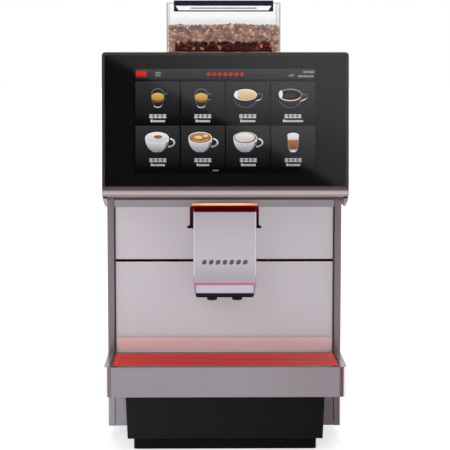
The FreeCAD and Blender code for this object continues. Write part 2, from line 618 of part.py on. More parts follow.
b = part("lid_pull")
b.add("y", "lid_y0 + 0.3", "lid_y0 + 2.9",
      [("-81.3", "lid_z0 + 2.2"), ("81.3", "lid_z0 + 2.2"), ("87", "lid_z0 + 10.3"), ("-87", "lid_z0 + 10.3")])
b.cut("y", "lid_y0 - 1", "lid_y0 + 3", rect("-60", "lid_z0 + 5.3", "60", "lid_z0 + 6.9"))
b.add("y", "lid_y0 + 2.2", "lid_y0 + 2.9", rect("-61", "lid_z0 + 5", "61", "lid_z0 + 7.2"))

b = part("lid_pin")
b.add("x", "-87.9", "87.9", circle("120", "773.9", "1.3"))

b = part("bean_gate")
b.add("z", "675", "677.5", rect("-32", "-40", "32", "neck_y + 34"))
b.cut("z", "675", "677.5", circle("0", "neck_y", "neck_bore"))
b.add("z", "675", "680.5", rect("-24", "-40", "24", "-34"))
b.fillet(upright(32, -40), "5.5")

b = part("coffee_beans")
b.add("z", "hop_step + 0.3", "bean_z", rect("-hop_half + hop_wall + 0.3", "hop_y0 + hop_wall + 0.3", "hop_half - hop_wall - 0.3", "hop_y1 - hop_wall - 0.3"))
b.add("z", "hop_floor + 0.3", "hop_step + 0.5", rect("-hop_half + hop_wall + 0.3", "hop_y0 + hop_wall + 0.3", "hop_half - hop_wall - 0.3", "hop_y1 - hop_wall - 0.3"))
b.add("z", "678.5", "hop_floor + 1", circle("0", "neck_y", "neck_bore - 0.4"))

# ------------------------------------------------------------------ brewing group
b = part("deck_plate")
b.add("z", "deck_z", "deck_z + 2", rect("-204.4", "-93", "204.4", "244"))
b.cut("z", "deck_z", "deck_z + 2", circle("0", "-18", "15"), circle("-150", "200", "30"), circle("150", "-40", "24"))

b = part("brew_frame")
b.add("z", "130", "136", rect("-60", "-52", "60", "58"))
b.add("z", "392", "398", rect("-60", "-52", "60", "58"))
b.add("x", "-60", "-57", rect("0", "130", "58", "398"))
b.add("x", "57", "60", rect("0", "130", "58", "398"))
b.add("y", "58", "61", rect("-60", "104", "60", "446"))
b.cut("z", "130", "136", rect("-34", "-40", "34", "18"))
b.cut("z", "392", "398", circle("0", "brew_y", "12"), circle("0", "screw_y", "6"))
b.cut("z", "129", "399", circle("rod_x", "brew_y", "rod_r + 0.05"), circle("-rod_x", "brew_y", "rod_r + 0.05"))
b.cut("z", "129", "137", circle("0", "screw_y", "screw_r + 0.06"))

p = proto("rod_proto")
p.add("z", "126", "402", circle("0", "brew_y", "rod_r"))
group("brew_rods", [(-VAL["rod_x"], 0, 0), (VAL["rod_x"], 0, 0)], p)

b = part("brew_chamber")
b.add("z", "232", "292", rect("-54", "-38", "54", "50"))
b.cut("z", "240", "292", circle("0", "brew_y", "chamber_r"))
b.cut("z", "232", "240.5", circle("0", "brew_y", "4"))
b.cut("z", "232", "292", circle("rod_x", "brew_y", "rod_r + 0.06"), circle("-rod_x", "brew_y", "rod_r + 0.06"),
      circle("0", "screw_y", "screw_r + 0.06"))
b.fillet(upright(54, [-38]), "8")

b = part("upper_piston")
b.turn([("0", "336"), ("chamber_r - 0.3", "336"), ("chamber_r - 0.3", "352"), ("9", "354"), ("9", "391.7"), ("11.7", "391.7"),
        ("11.7", "404"), ("0", "404")], "0", "brew_y")

b = part("lead_screw")
b.turn([("0", "122"), ("screw_r", "122"), ("screw_r", "398.5"), ("screw_r - 0.5", "399"), ("screw_r - 0.5", "404.7"),
        ("0", "404.7")], "0", "screw_y")

b = part("brew_motor")
b.add("z", "405", "443", rect("-21", "screw_y - 16", "21", "screw_y + 21.5"))
b.add("z", "405", "408", rect("-28", "screw_y - 16", "28", "screw_y + 21.5"))

b = part("coffee_boiler")
b.turn([("0", "142"), ("20", "144"), ("36", "152"), ("boiler_r", "166"), ("boiler_r", "142 + boiler_h - 24"),
        ("36", "142 + boiler_h - 10"), ("20", "142 + boiler_h - 2"), ("8", "142 + boiler_h"), ("8", "142 + boiler_h + 18"),
        ("0", "142 + boiler_h + 18")], "-126", "70")
b.add("z", "21.5", "143", circle("-126", "70", "9"))

b = part("water_pump")
b.add("y", "130", "196", circle("20", "110", "pump_r"))
b.add("y", "118", "208", circle("20", "110", "9"))
b.add("z", "21.5", "90", rect("-2", "140", "42", "186"))

b = part("grinder_body")
b.turn([("0", "deck_z + 2.3"), ("46", "deck_z + 2.3"), ("46", "545"), ("58", "552"), ("58", "604"), ("36", "612"), ("36", "640"),
        ("30", "640"), ("30", "600"), ("47", "596"), ("47", "562"), ("7.06", "562"), ("7.06", "540"), ("0", "540")], "0", "neck_y")
b.cut("y", "-6", "22", rect("-12", "562", "12", "586"))

b = part("grinder_burr")
b.turn([("0", "541"), ("7", "541"), ("7", "564"), ("42", "566"), ("42", "574"), ("26", "590"), ("10", "598"), ("0", "602")], "0", "neck_y")

b = part("grinder_chute")
b.add("y", "-40", "-1.2", rect("-15", "558", "15", "590"))
b.add("z", "451", "560", circle("0", "-20", "17"))
b.cut("z", "450", "584", circle("0", "-20", "14"))
b.cut("y", "-30", "0", rect("-11", "563", "11", "585"))

b = part("control_board")
b.add("x", "182", "183.6", rect("-30", "472", "150", "640"))
b.add("x", "172", "182.5", rect("0", "500", "34", "540"), rect("60", "560", "120", "610"), rect("100", "490", "130", "520"))
b.add("x", "183", "204.6", circle("-20", "484", "4"), circle("140", "484", "4"), circle("-20", "628", "4"), circle("140", "628", "4"))

b = part("fan_frame")
b.add("y", "back_y - 28", "back_y - 3.3", rect("fan_x - fan_half", "fan_z - fan_half", "fan_x + fan_half", "fan_z + fan_half"))
b.cut("y", "back_y - 28", "back_y - 3.3", circle("fan_x", "fan_z", "41.5"))
b.add("y", "back_y - 28", "back_y - 25", rect("fan_x - 44", "fan_z - 3", "fan_x + 44", "fan_z + 3"), )
b.add("y", "back_y - 28", "back_y - 25", rect("fan_x - 3", "fan_z - 44", "fan_x + 3", "fan_z + 44"), )
b.add("y", "back_y - 28", "back_y - 12", circle("fan_x", "fan_z", "3"))

b = part("fan_rotor")
b.add("y", "back_y - 24", "back_y - 7", circle("fan_x", "fan_z", "16"))
b.cut("y", "back_y - 24", "back_y - 11", circle("fan_x", "fan_z", "3.06"))
for k in range(7):
    a = 2 * math.pi * k / 7
    ca, sa = math.cos(a), math.sin(a)
    q = [(14, -5), (39.5, -1), (39.5, 9), (14, 3)]
    b.add("y", "back_y - 22", "back_y - 9",
          [("fan_x + %.4f" % (u * ca - v * sa), "fan_z + %.4f" % (u * sa + v * ca)) for u, v in q])

b = part("fan_guard")
b.add("y", "back_y + 0.2", "back_y + 2.2", circle("fan_x", "fan_z", "48"))
b.cut("y", "back_y + 0.2", "back_y + 2.2", circle("fan_x", "fan_z", "44"))
b.add("y", "back_y + 0.2", "back_y + 2.2", rect("fan_x - 45", "fan_z - 1.2", "fan_x + 45", "fan_z + 1.2"))
b.add("y", "back_y + 0.2", "back_y + 2.2", rect("fan_x - 1.2", "fan_z - 45", "fan_x + 1.2", "fan_z + 45"))
b.add("y", "back_y + 0.4", "back_y + 2.0", circle("fan_x", "fan_z", "36"), circle("fan_x", "fan_z", "33.6"))
b.add("y", "back_y + 0.4", "back_y + 2.0", circle("fan_x", "fan_z", "26"), circle("fan_x", "fan_z", "23.6"))
b.add("y", "back_y + 0.4", "back_y + 2.0", circle("fan_x", "fan_z", "12"))

# ------------------------------------------------------------------ connections at the back
b = part("water_inlet")
b.add("y", "230", "270", circle("inlet_x", "inlet_z", "inlet_r"))
b.add("y", "back_y - 8", "back_y - 1.8", circle("inlet_x", "inlet_z", "18"))
b.add("y", "back_y + 0.3", "back_y + 4", circle("inlet_x", "inlet_z", "17"))
b.add("y", "212", "231", circle("inlet_x", "inlet_z", "7"))
b.cut("y", "211", "270", circle("inlet_x", "inlet_z", "5"))
b.chamfer(lambda c, d, e: c.y > 269.9 and d[0] > 20, "1.2")

b = part("drain_spigot")
b.add("y", "232", "268", circle("drain_x", "drain_z", "drain_r"))
b.add("y", "back_y - 6", "back_y - 1.8", circle("drain_x", "drain_z", "13"))
b.cut("y", "231", "268", circle("drain_x", "drain_z", "5.5"))

b = part("power_inlet")
b.add("y", "back_y + 0.3", "back_y + 3.3", rect("power_x - 32", "power_z - 19", "power_x + 32", "power_z + 19"))
b.add("y", "222", "back_y + 1", rect("power_x - 27", "power_z - 14", "power_x + 27", "power_z + 14"))
b.cut("y", "232", "back_y + 3.3", rect("power_x - 25", "power_z - 10", "power_x + 1", "power_z + 10"))
b.cut("y", "234", "back_y + 3.3", rect("power_x + 6", "power_z - 12", "power_x + 24", "power_z + 12"))
b.add("y", "230", "246", rect("power_x - 13", "power_z + 3", "power_x - 11", "power_z + 7"))
b.add("y", "230", "246", rect("power_x - 20", "power_z - 5", "power_x - 18", "power_z - 1"))
b.add("y", "230", "246", rect("power_x - 6", "power_z - 5", "power_x - 4", "power_z - 1"))
b.add("x", "power_x + 5", "power_x + 25", circle("243", "power_z", "1.5"))

b = part("power_rocker")
b.add("x", "power_x + 6.6", "power_x + 23.4",
      [("237", "power_z - 4"), ("240", "power_z - 8.2"), ("252.4", "power_z - 8.2"), ("250.6", "power_z"),
       ("255", "power_z + 8.2"), ("240", "power_z + 8.2"), ("237", "power_z + 4")])
b.cut("x", "power_x + 6", "power_x + 24", circle("243", "power_z", "1.56"))

p = proto("screw_proto")
p.turn([("0", "-3"), ("1.6", "-3"), ("1.6", "0.2"), ("3.6", "0.2"), ("3.2", "1.8"), ("2", "2.4"), ("0", "2.4")], "0", "0")
doc.recompute()
f = doc.addObject("Part::Feature", "rear_screws")
f.Label = "rear_screws"
head = p.b.Shape.copy()
head.rotate(V(0, 0, 0), V(1, 0, 0), -90)
f.Shape = Part.makeCompound([head.translated(V(x, VAL["back_y"], z)) for x in (-196, 196) for z in (40, 240, 440, 640)])
PARTS.append(f)

# ------------------------------------------------------------------ checks and files
doc.recompute()
bad = []
for o in doc.Objects:
    if any(w in ("Invalid", "Error") for w in o.State):
        bad.append("%s %s" % (o.Name, o.State))
for o in PARTS:
    if o.Shape.isNull() or not o.Shape.isValid() or not o.Shape.Solids:
        bad.append("%s has no valid solid" % o.Label)
if bad:
    raise RuntimeError("; ".join(bad[:20]))
if len(PARTS) > 60:
    raise RuntimeError("too many parts: %d" % len(PARTS))
os.makedirs("parts", exist_ok=True)
for o in PARTS:
    o.Shape.exportStep("parts/%s.step" % o.Label)
    bb = o.Shape.BoundBox
    print("%-18s solids %d vol %9.0f  x %.1f %.1f  y %.1f %.1f  z %.1f %.1f" % (
        o.Label, len(o.Shape.Solids), o.Shape.Volume, bb.XMin, bb.XMax, bb.YMin, bb.YMax, bb.ZMin, bb.ZMax))
print("parts", len(PARTS))
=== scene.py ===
import bpy
import bmesh
import json
import math
import random
from mathutils import Matrix, Vector, noise


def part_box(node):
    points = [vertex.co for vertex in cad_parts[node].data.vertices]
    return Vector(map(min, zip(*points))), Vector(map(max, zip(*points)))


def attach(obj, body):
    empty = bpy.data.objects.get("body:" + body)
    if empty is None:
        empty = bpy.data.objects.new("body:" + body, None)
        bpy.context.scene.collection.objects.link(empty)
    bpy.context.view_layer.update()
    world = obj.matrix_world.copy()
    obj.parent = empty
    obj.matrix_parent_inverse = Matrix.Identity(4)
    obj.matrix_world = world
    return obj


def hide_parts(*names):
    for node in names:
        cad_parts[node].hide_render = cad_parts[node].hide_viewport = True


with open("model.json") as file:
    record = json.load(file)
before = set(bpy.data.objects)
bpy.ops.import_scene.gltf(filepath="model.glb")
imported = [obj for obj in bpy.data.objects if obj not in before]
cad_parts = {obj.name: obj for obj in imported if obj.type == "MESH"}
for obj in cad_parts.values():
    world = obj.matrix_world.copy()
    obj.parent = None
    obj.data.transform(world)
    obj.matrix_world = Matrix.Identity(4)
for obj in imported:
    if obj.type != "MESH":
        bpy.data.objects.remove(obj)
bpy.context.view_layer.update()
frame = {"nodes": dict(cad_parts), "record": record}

MM = 0.001
rng = random.Random(11)

# ------------------------------------------------------------------ camera
scene = bpy.context.scene
cam_data = bpy.data.cameras.new("cam")
cam = bpy.data.objects.new("cam", cam_data)
scene.collection.objects.link(cam)
cam_data.sensor_width = 36.0
cam_data.lens = 133.85
cam_data.shift_x = 0.0027
cam_data.clip_start = 0.05
cam_data.clip_end = 200.0
pitch, turn = math.radians(5.9), math.radians(0.73)
cam.location = (-0.0385, -3.0585, 0.6819)
look = Vector((math.sin(turn) * math.cos(pitch), math.cos(turn) * math.cos(pitch), -math.sin(pitch)))
cam.rotation_euler = look.to_track_quat("-Z", "Y").to_euler()
scene.camera = cam
scene.view_settings.view_transform = "Standard"
scene.view_settings.look = "None"


# ------------------------------------------------------------------ node helpers
def srgb(r, g, b):
    def f(c):
        c = c / 255.0
        return c / 12.92 if c <= 0.04045 else ((c + 0.055) / 1.055) ** 2.4
    return (f(r), f(g), f(b), 1.0)


class M:
    """A node material with a Principled surface, built step by step."""

    def __init__(self, name):
        self.m = bpy.data.materials.new(name)
        self.m.use_nodes = True
        self.nt = self.m.node_tree
        self.nt.nodes.clear()
        self.out = self.nt.nodes.new("ShaderNodeOutputMaterial")
        self.p = self.nt.nodes.new("ShaderNodeBsdfPrincipled")
        self.link(self.p.outputs[0], self.out.inputs["Surface"])
        self.tc = self.nt.nodes.new("ShaderNodeTexCoord")

    def link(self, a, b):
        self.nt.links.new(a, b)

    def n(self, kind, **kw):
        node = self.nt.nodes.new("ShaderNode" + kind)
        for k, v in kw.items():
            setattr(node, k, v)
        return node

    def mapped(self, scale=(1, 1, 1)):
        mp = self.n("Mapping")
        mp.inputs["Scale"].default_value = scale
        self.link(self.tc.outputs["Object"], mp.inputs["Vector"])
        return mp.outputs[0]

    def noise(self, scale, detail=3.0, rough=0.5, stretch=(1, 1, 1)):
        t = self.n("TexNoise")
        t.inputs["Scale"].default_value = scale
        t.inputs["Detail"].default_value = detail
        t.inputs["Roughness"].default_value = rough
        self.link(self.mapped(stretch), t.inputs["Vector"])
        return t.outputs["Fac"]

    def ramp(self, fac, stops, interpolation="LINEAR"):
        r = self.n("ValToRGB")
        r.color_ramp.interpolation = interpolation
        el = r.color_ramp.elements
        while len(el) > 1:
            el.remove(el[-1])
        el[0].position, el[0].color = stops[0]
        for pos, col in stops[1:]:
            e = el.new(pos)
            e.color = col
        self.link(fac, r.inputs["Fac"])
        return r.outputs["Color"]

    def grey(self, fac, lo, hi, a=0.35, b=0.65):
        mr = self.n("MapRange")
        mr.inputs["From Min"].default_value = a
        mr.inputs["From Max"].default_value = b
        mr.inputs["To Min"].default_value = lo
        mr.inputs["To Max"].default_value = hi
        self.link(fac, mr.inputs["Value"])
        return mr.outputs["Result"]

    def bump(self, height, strength=0.1, dist=0.0002, normal=None):
        b = self.n("Bump")
        b.inputs["Strength"].default_value = strength
        b.inputs["Distance"].default_value = dist
        self.link(height, b.inputs["Height"])
        if normal is not None:
            self.link(normal, b.inputs["Normal"])
        return b.outputs["Normal"]

    def bevel(self, radius):
        b = self.n("Bevel", samples=4)
        b.inputs["Radius"].default_value = radius
        return b.outputs["Normal"]

    def set(self, **kw):
        names = {"metallic": "Metallic", "rough": "Roughness", "ior": "IOR", "spec": "Specular IOR Level",
                 "coat": "Coat Weight", "coat_rough": "Coat Roughness", "trans": "Transmission Weight",
                 "emit": "Emission Strength", "aniso": "Anisotropic", "sheen": "Sheen Weight"}
        for k, v in kw.items():
            self.p.inputs[names[k]].default_value = v
        return self


def where(m, axis, a, b, normal=False):
    """0 to 1 across a..b along one axis of the object."""
    sep = m.n("SeparateXYZ")
    m.link(m.tc.outputs["Normal" if normal else "Object"], sep.inputs[0])
    mr = m.n("MapRange", interpolation_type="SMOOTHSTEP")
    mr.inputs["From Min"].default_value = a
    mr.inputs["From Max"].default_value = b
    m.link(sep.outputs[axis], mr.inputs["Value"])
    return mr.outputs["Result"]


def wide(m, axis, a, b):
    """0 to 1 as the distance from the middle plane goes from a to b."""
    sep = m.n("SeparateXYZ")
    m.link(m.tc.outputs["Object"], sep.inputs[0])
    ab = m.n("Math", operation="ABSOLUTE")
    m.link(sep.outputs[axis], ab.inputs[0])
    mr = m.n("MapRange", interpolation_type="SMOOTHSTEP")
    mr.inputs["From Min"].default_value = a
    mr.inputs["From Max"].default_value = b
    m.link(ab.outputs[0], mr.inputs["Value"])
    return mr.outputs["Result"]


def times(m, *facs):
    out = facs[0]
    for f in facs[1:]:
        n = m.n("Math", operation="MULTIPLY")
        m.link(out, n.inputs[0])
        m.link(f, n.inputs[1])
        out = n.outputs[0]
    return out


def invert(m, fac):
    n = m.n("Math", operation="SUBTRACT")
    n.inputs[0].default_value = 1.0
    m.link(fac, n.inputs[1])
    return n.outputs[0]


def blend(m, fac, a, b, mode="MIX", amount=None):
    """a where fac is 0, b where it is 1; either may be a colour or a socket."""
    n = m.n("MixRGB", blend_type=mode)
    if amount is not None:
        k = m.n("Math", operation="MULTIPLY")
        m.link(fac, k.inputs[0])
        k.inputs[1].default_value = amount
        fac = k.outputs[0]
    m.link(fac, n.inputs[0])
    for v, sock in ((a, n.inputs[1]), (b, n.inputs[2])):
        if isinstance(v, tuple):
            sock.default_value = v
        else:
            m.link(v, sock)
    return n.outputs[0]


def recolor(m, fac, color, amount=None):
    """Lay another colour over the base colour where fac says."""
    old = m.p.inputs["Base Color"].links[0].from_socket
    m.link(blend(m, fac, old, color, "MIX", amount), m.p.inputs["Base Color"])


def shade(c, k):
    return (min(1, c[0] * k), min(1, c[1] * k), min(1, c[2] * k), 1.0)


def paint(name, color, metallic=0.0, rough=0.4, vary=0.04, rough_vary=0.04, cloud=9.0, grain=900.0,
          bump=0.06, bevel=0.0006, coat=0.0, stretch=(1, 1, 1), dist=0.00006):
    """Coated or moulded surface: slow drift of tone, fine grain in gloss and bump, softened edges."""
    m = M(name)
    slow = m.noise(cloud, 2.0)
    fine = m.noise(grain, 2.0, 0.6, stretch)
    col = m.ramp(slow, [(0.3, shade(color, 1 - vary)), (0.7, shade(color, 1 + vary))])
    m.link(col, m.p.inputs["Base Color"])
    m.link(m.grey(fine, rough - rough_vary, rough + rough_vary), m.p.inputs["Roughness"])
    m.set(metallic=metallic, coat=coat)
    nrm = m.bevel(bevel) if bevel else None
    m.link(m.bump(fine, bump, dist, nrm), m.p.inputs["Normal"])
    return m


MATS = {}
body = paint("body_grey", srgb(137, 130, 135), metallic=0.45, rough=0.24, rough_vary=0.03, grain=1400, bump=0.03, vary=0.02)
# painted light: the bar under the head is painted lighter; painted shade: the post flanks towards the front panel are
# painted deeper in tone
recolor(body, times(body, where(body, "Z", 0.4095, 0.4105), invert(body, where(body, "Z", 0.4405, 0.4415)), invert(body, wide(body, "X", 0.1942, 0.1944))), srgb(159, 154, 158))
# painted shade: the top of the bar, just under the head, is painted dark
recolor(body, times(body, where(body, "Z", 0.4222, 0.4238), invert(body, where(body, "Z", 0.4405, 0.4415)), invert(body, wide(body, "X", 0.1942, 0.1944))), srgb(74, 58, 58))
recolor(body, times(body, wide(body, "X", 0.1940, 0.1944), where(body, "Z", 0.150, 0.156), invert(body, where(body, "Y", -0.0950, -0.0946))), srgb(122, 110, 112))
facing = invert(body, where(body, "Y", -0.7, -0.5, normal=True))
low = times(body, invert(body, where(body, "Z", 0.1176, 0.1180)), where(body, "Y", -0.128, -0.126), facing)
# painted light and shade: below the tray the front faces are painted darker on the right and lighter on the left
recolor(body, times(body, low, where(body, "X", 0.150, 0.180)), srgb(94, 80, 80), 0.95)
recolor(body, times(body, low, invert(body, where(body, "X", -0.180, -0.150))), srgb(152, 148, 154), 0.9)
at_front = invert(body, where(body, "Y", -0.2575, -0.2545))
on_tray = times(body, at_front, where(body, "Z", 0.100, 0.1004), invert(body, where(body, "Z", 0.1530, 0.1534)))
corner = times(body, on_tray, where(body, "Z", -0.9, -0.4, normal=True), invert(body, where(body, "Z", 0.4, 0.9, normal=True)))
# painted reflection: the rounded front corners of the tray get a dark strip and, further out, a white highlight
recolor(body, times(body, corner, wide(body, "X", 0.1925, 0.1945), where(body, "X", 0.0, 0.01)), srgb(92, 60, 50), 0.88)
recolor(body, times(body, corner, wide(body, "X", 0.1925, 0.1945), invert(body, where(body, "X", 0.0, 0.01))), srgb(108, 94, 104), 0.85)
recolor(body, times(body, corner, wide(body, "X", 0.1998, 0.2012)), srgb(236, 236, 238), 0.92)
# dark seal on the rim, next to the grille
rim = times(body, where(body, "Z", 0.6, 0.9, normal=True), where(body, "Z", 0.1485, 0.1490), invert(body, where(body, "Z", 0.1530, 0.1534)))
near = body.n("Math", operation="MAXIMUM")
body.link(times(body, invert(body, wide(body, "X", 0.1960, 0.1964)), where(body, "Y", -0.2690, -0.2686), invert(body, where(body, "Y", -0.1168, -0.1165))), near.inputs[0])
near.inputs[1].default_value = 0.0
recolor(body, times(body, rim, near.outputs[0]), srgb(72, 24, 22), 0.95)
# painted shade: the front faces are painted darker and a touch browner towards the right
right_shade = times(body, facing, where(body, "X", 0.0, 0.20), invert(body, low))
body.link(blend(body, right_shade, body.p.inputs["Base Color"].links[0].from_socket, (0.90, 0.84, 0.86, 1.0), "MULTIPLY"), body.p.inputs["Base Color"])
MATS["body_grey"] = body.m

panel = paint("grey_panel", srgb(186, 179, 185), metallic=0.40, rough=0.10, rough_vary=0.02, grain=1600, bump=0.015, vary=0.012)
# painted light: the upper panel is painted lighter towards the top, where the head shades it
recolor(panel, where(panel, "Z", 0.30, 0.41), srgb(199, 191, 197))
on_spout = invert(panel, where(panel, "Y", -0.131, -0.129))
recolor(panel, on_spout, srgb(176, 170, 176))
# painted shade: the spout cover is painted darker towards its bottom, where it curves back
recolor(panel, times(panel, on_spout, invert(panel, where(panel, "Z", 0.283, 0.330))), srgb(146, 142, 148), 0.75)
# painted highlight on the spout cover's sides, and painted pink reflection of the red below along its bottom edge and
# the lower ends of its sides
recolor(panel, times(panel, on_spout, wide(panel, "X", 0.0518, 0.0532), invert(panel, where(panel, "Y", -0.178, -0.172))), srgb(222, 215, 221), 0.8)
recolor(panel, times(panel, on_spout, invert(panel, where(panel, "Z", 0.2840, 0.2848))), srgb(186, 92, 116))
recolor(panel, times(panel, on_spout, wide(panel, "X", 0.0518, 0.0526), invert(panel, where(panel, "Z", 0.292, 0.302)), invert(panel, where(panel, "Y", -0.178, -0.172))), srgb(206, 118, 136), 0.8)
off_spout = where(panel, "Y", -0.131, -0.129)
# painted reflection: the bottom of the lower panel is painted a pinkish white, where the red tray shows in it
recolor(panel, times(panel, off_spout, invert(panel, where(panel, "Z", 0.1750, 0.1775))), srgb(255, 236, 238))
# painted reflection of the red below: dark maroon along the upper panel's lower edge; painted highlight: pink along the
# lower panel's top edge
recolor(panel, times(panel, off_spout, where(panel, "Z", 0.3155, 0.3162), invert(panel, where(panel, "Z", 0.3172, 0.3176))), srgb(74, 28, 28), 0.95)
recolor(panel, times(panel, off_spout, invert(panel, where(panel, "Z", 0.3127, 0.3129)), where(panel, "Z", 0.3109, 0.3114)), srgb(232, 176, 184), 0.8)
# painted shade: the front panels are painted darker towards the right
panel.link(blend(panel, times(panel, off_spout, where(panel, "X", -0.04, 0.19)), panel.p.inputs["Base Color"].links[0].from_socket, (0.915, 0.925, 0.92, 1.0), "MULTIPLY"), panel.p.inputs["Base Color"])
MATS["grey_panel"] = panel.m

bronze = paint("bronze_metal", srgb(124, 108, 104), metallic=0.75, rough=0.26, rough_vary=0.01, grain=1500, bump=0.006, vary=0.02)
sep_z = bronze.n("SeparateXYZ")
bronze.link(bronze.tc.outputs["Object"], sep_z.inputs[0])
hz = bronze.n("MapRange")
hz.inputs["From Min"].default_value = 0.4360
hz.inputs["From Max"].default_value = 0.4660
bronze.link(sep_z.outputs["Z"], hz.inputs["Value"])


def hk(z):
    return (z - 436.0) / 30.0


# painted light and shade on the chin: a dark underside, a tan and a light band, and a dark bevel under the glass
# standing in for its reflection
chin = bronze.ramp(hz.outputs[0], [(hk(438.9), srgb(60, 40, 40)), (hk(440.3), srgb(142, 124, 117)), (hk(444.8), srgb(146, 128, 121)),
                                   (hk(446.6), srgb(178, 168, 172)), (hk(450.2), srgb(172, 162, 166)), (hk(452.2), srgb(96, 78, 78)),
                                   (hk(458.4), srgb(74, 60, 60)), (hk(460.5), srgb(78, 62, 62))])
front_face = invert(bronze, where(bronze, "Y", -0.62, -0.50, normal=True))
recolor(bronze, front_face, srgb(120, 104, 100))
old = bronze.p.inputs["Base Color"].links[0].from_socket
bronze.link(blend(bronze, front_face, old, chin), bronze.p.inputs["Base Color"])
tip = bronze.n("Math", operation="MAXIMUM")
bronze.link(front_face, tip.inputs[0])
bronze.link(invert(bronze, where(bronze, "Z", -0.20, -0.10, normal=True)), tip.inputs[1])
shell_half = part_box("head_shell")[1].x
# painted light and shade on the lower tips of the head's cheeks: lit on the left, shaded on the right
tips = times(bronze, invert(bronze, where(bronze, "Z", 0.4378, 0.4386)), invert(bronze, wide(bronze, "X", shell_half - 0.0004, shell_half - 0.0002)))
recolor(bronze, times(bronze, tips, invert(bronze, where(bronze, "X", 0.0, 0.01))), srgb(206, 201, 208))
recolor(bronze, times(bronze, tips, where(bronze, "X", 0.0, 0.01)), srgb(158, 142, 146))
MATS["bronze_metal"] = bronze.m
MATS["case_dark"] = paint("case_dark", srgb(62, 62, 66), rough=0.5, bump=0.25, grain=1200, dist=0.0001).m
black = paint("black_plastic", srgb(8, 8, 11), rough=0.4, rough_vary=0.06, bump=0.2, grain=1500, dist=0.0001, vary=0.15)
sheen_x = black.n("MapRange")
sheen_x.inputs["From Min"].default_value = -0.16
sheen_x.inputs["From Max"].default_value = 0.16
sheen_x.inputs["To Min"].default_value = 0.175
sheen_x.inputs["To Max"].default_value = 0.085
sep_x = black.n("SeparateXYZ")
black.link(black.tc.outputs["Object"], sep_x.inputs[0])
black.link(sep_x.outputs["X"], sheen_x.inputs["Value"])
sheen_z = black.grey(sep_x.outputs["Z"], 0.42, 1.0, 0.0187, 0.0192)
black.link(times(black, sheen_x.outputs["Result"], sheen_z, black.grey(sep_x.outputs["Z"], 1.0, 0.42, 0.20, 0.24)), black.p.inputs["Specular IOR Level"])
# painted light: the black plastic in the recess round the spout glows dark red, standing in for the light bar's spill,
# fainter lower down
spill = times(black, where(black, "Z", 0.392, 0.409), where(black, "Y", -0.118, -0.115), invert(black, wide(black, "X", 0.060, 0.066)), invert(black, where(black, "Y", -0.09, -0.085)))
faint = times(black, where(black, "Z", 0.370, 0.380), where(black, "Y", -0.118, -0.115), invert(black, where(black, "Z", 0.411, 0.412)), invert(black, where(black, "Y", -0.09, -0.085)))
weak = blend(black, faint, (0.0, 0.0, 0.0, 1.0), (0.012, 0.0008, 0.0022, 1.0))
black.link(blend(black, spill, weak, (0.085, 0.0015, 0.001, 1.0)), black.p.inputs["Emission Color"])
black.set(emit=1.0)
MATS["black_plastic"] = black.m
gloss = paint("black_gloss", srgb(8, 8, 9), rough=0.2, rough_vary=0.01, bump=0.004, vary=0.1)
gloss.p.inputs["Specular IOR Level"].default_value = 0.14
recolor(gloss, where(gloss, "Z", 0.74, 0.75), srgb(34, 35, 60))
MATS["black_gloss"] = gloss.m
red = paint("red_grille", srgb(212, 40, 31), rough=0.42, rough_vary=0.06, bump=0.1, grain=1100, vary=0.03)
red.p.inputs["Specular IOR Level"].default_value = 0.12
streak = red.noise(60, 3.0, 0.6, (0.12, 1.6, 1))
recolor(red, red.grey(streak, 0.0, 1.0, 0.48, 0.72), srgb(176, 26, 20), 0.55)
recolor(red, red.grey(streak, 1.0, 0.0, 0.28, 0.5), srgb(226, 66, 54), 0.5)
# painted sheen: the grille is painted paler towards the right
recolor(red, where(red, "X", 0.02, 0.19), srgb(196, 78, 70), 0.6)
MATS["red_grille"] = red.m
pale = paint("pale_plastic", srgb(226, 226, 236), rough=0.2, rough_vary=0.03, bump=0.03, vary=0.015)
# painted shade: the pale parts below the head are painted darker, and darker still at their sides
recolor(pale, invert(pale, where(pale, "Z", 0.30, 0.31)), srgb(184, 181, 194))
recolor(pale, times(pale, wide(pale, "X", 0.0492, 0.0500), invert(pale, where(pale, "Z", 0.30, 0.31))), srgb(120, 117, 128), 0.9)
# hand plate on the lid: painted light, whiter and glowing, and painted shade inside its long slot
on_lid = where(pale, "Z", 0.74, 0.75)
recolor(pale, on_lid, srgb(252, 252, 255))
slot_in = times(pale, where(pale, "Z", 0.76020, 0.76030), invert(pale, where(pale, "Z", 0.76190, 0.76200)), invert(pale, wide(pale, "X", 0.0599, 0.0601)))
recolor(pale, slot_in, srgb(36, 38, 52))
# painted light: the plate glows, except inside its slot
pale.link(blend(pale, times(pale, on_lid, invert(pale, slot_in)), (0.0, 0.0, 0.0, 1.0), (0.17, 0.17, 0.18, 1.0)), pale.p.inputs["Emission Color"])
pale.set(emit=1.0)
MATS["pale_plastic"] = pale.m
MATS["steel"] = paint("steel", srgb(200, 200, 202), metallic=1.0, rough=0.3, rough_vary=0.08, grain=500, stretch=(1, 1, 6), bump=0.05, bevel=0.0003).m
MATS["zinc"] = paint("zinc", srgb(190, 192, 196), metallic=0.9, rough=0.36, rough_vary=0.1, cloud=60, grain=160, vary=0.09, bump=0.03).m
MATS["brass"] = paint("brass", srgb(206, 170, 96), metallic=1.0, rough=0.28, rough_vary=0.08, grain=700, bump=0.05, bevel=0.0003).m
MATS["aluminium"] = paint("aluminium", srgb(214, 214, 216), metallic=1.0, rough=0.4, rough_vary=0.08, grain=420, bump=0.12, bevel=0.0005).m
MATS["circuit"] = paint("circuit", srgb(26, 92, 48), rough=0.35, cloud=90, grain=420, vary=0.18, bump=0.15, bevel=0.0003).m
MATS["rubber"] = paint("rubber", srgb(34, 34, 34), rough=0.7, bump=0.4, grain=900, dist=0.0002).m
MATS["white_plastic"] = paint("white_plastic", srgb(226, 226, 222), rough=0.42, bump=0.15, grain=900, vary=0.03).m
MATS["lcd"] = paint("lcd", srgb(16, 16, 18), rough=0.3, bump=0.02, vary=0.1).m


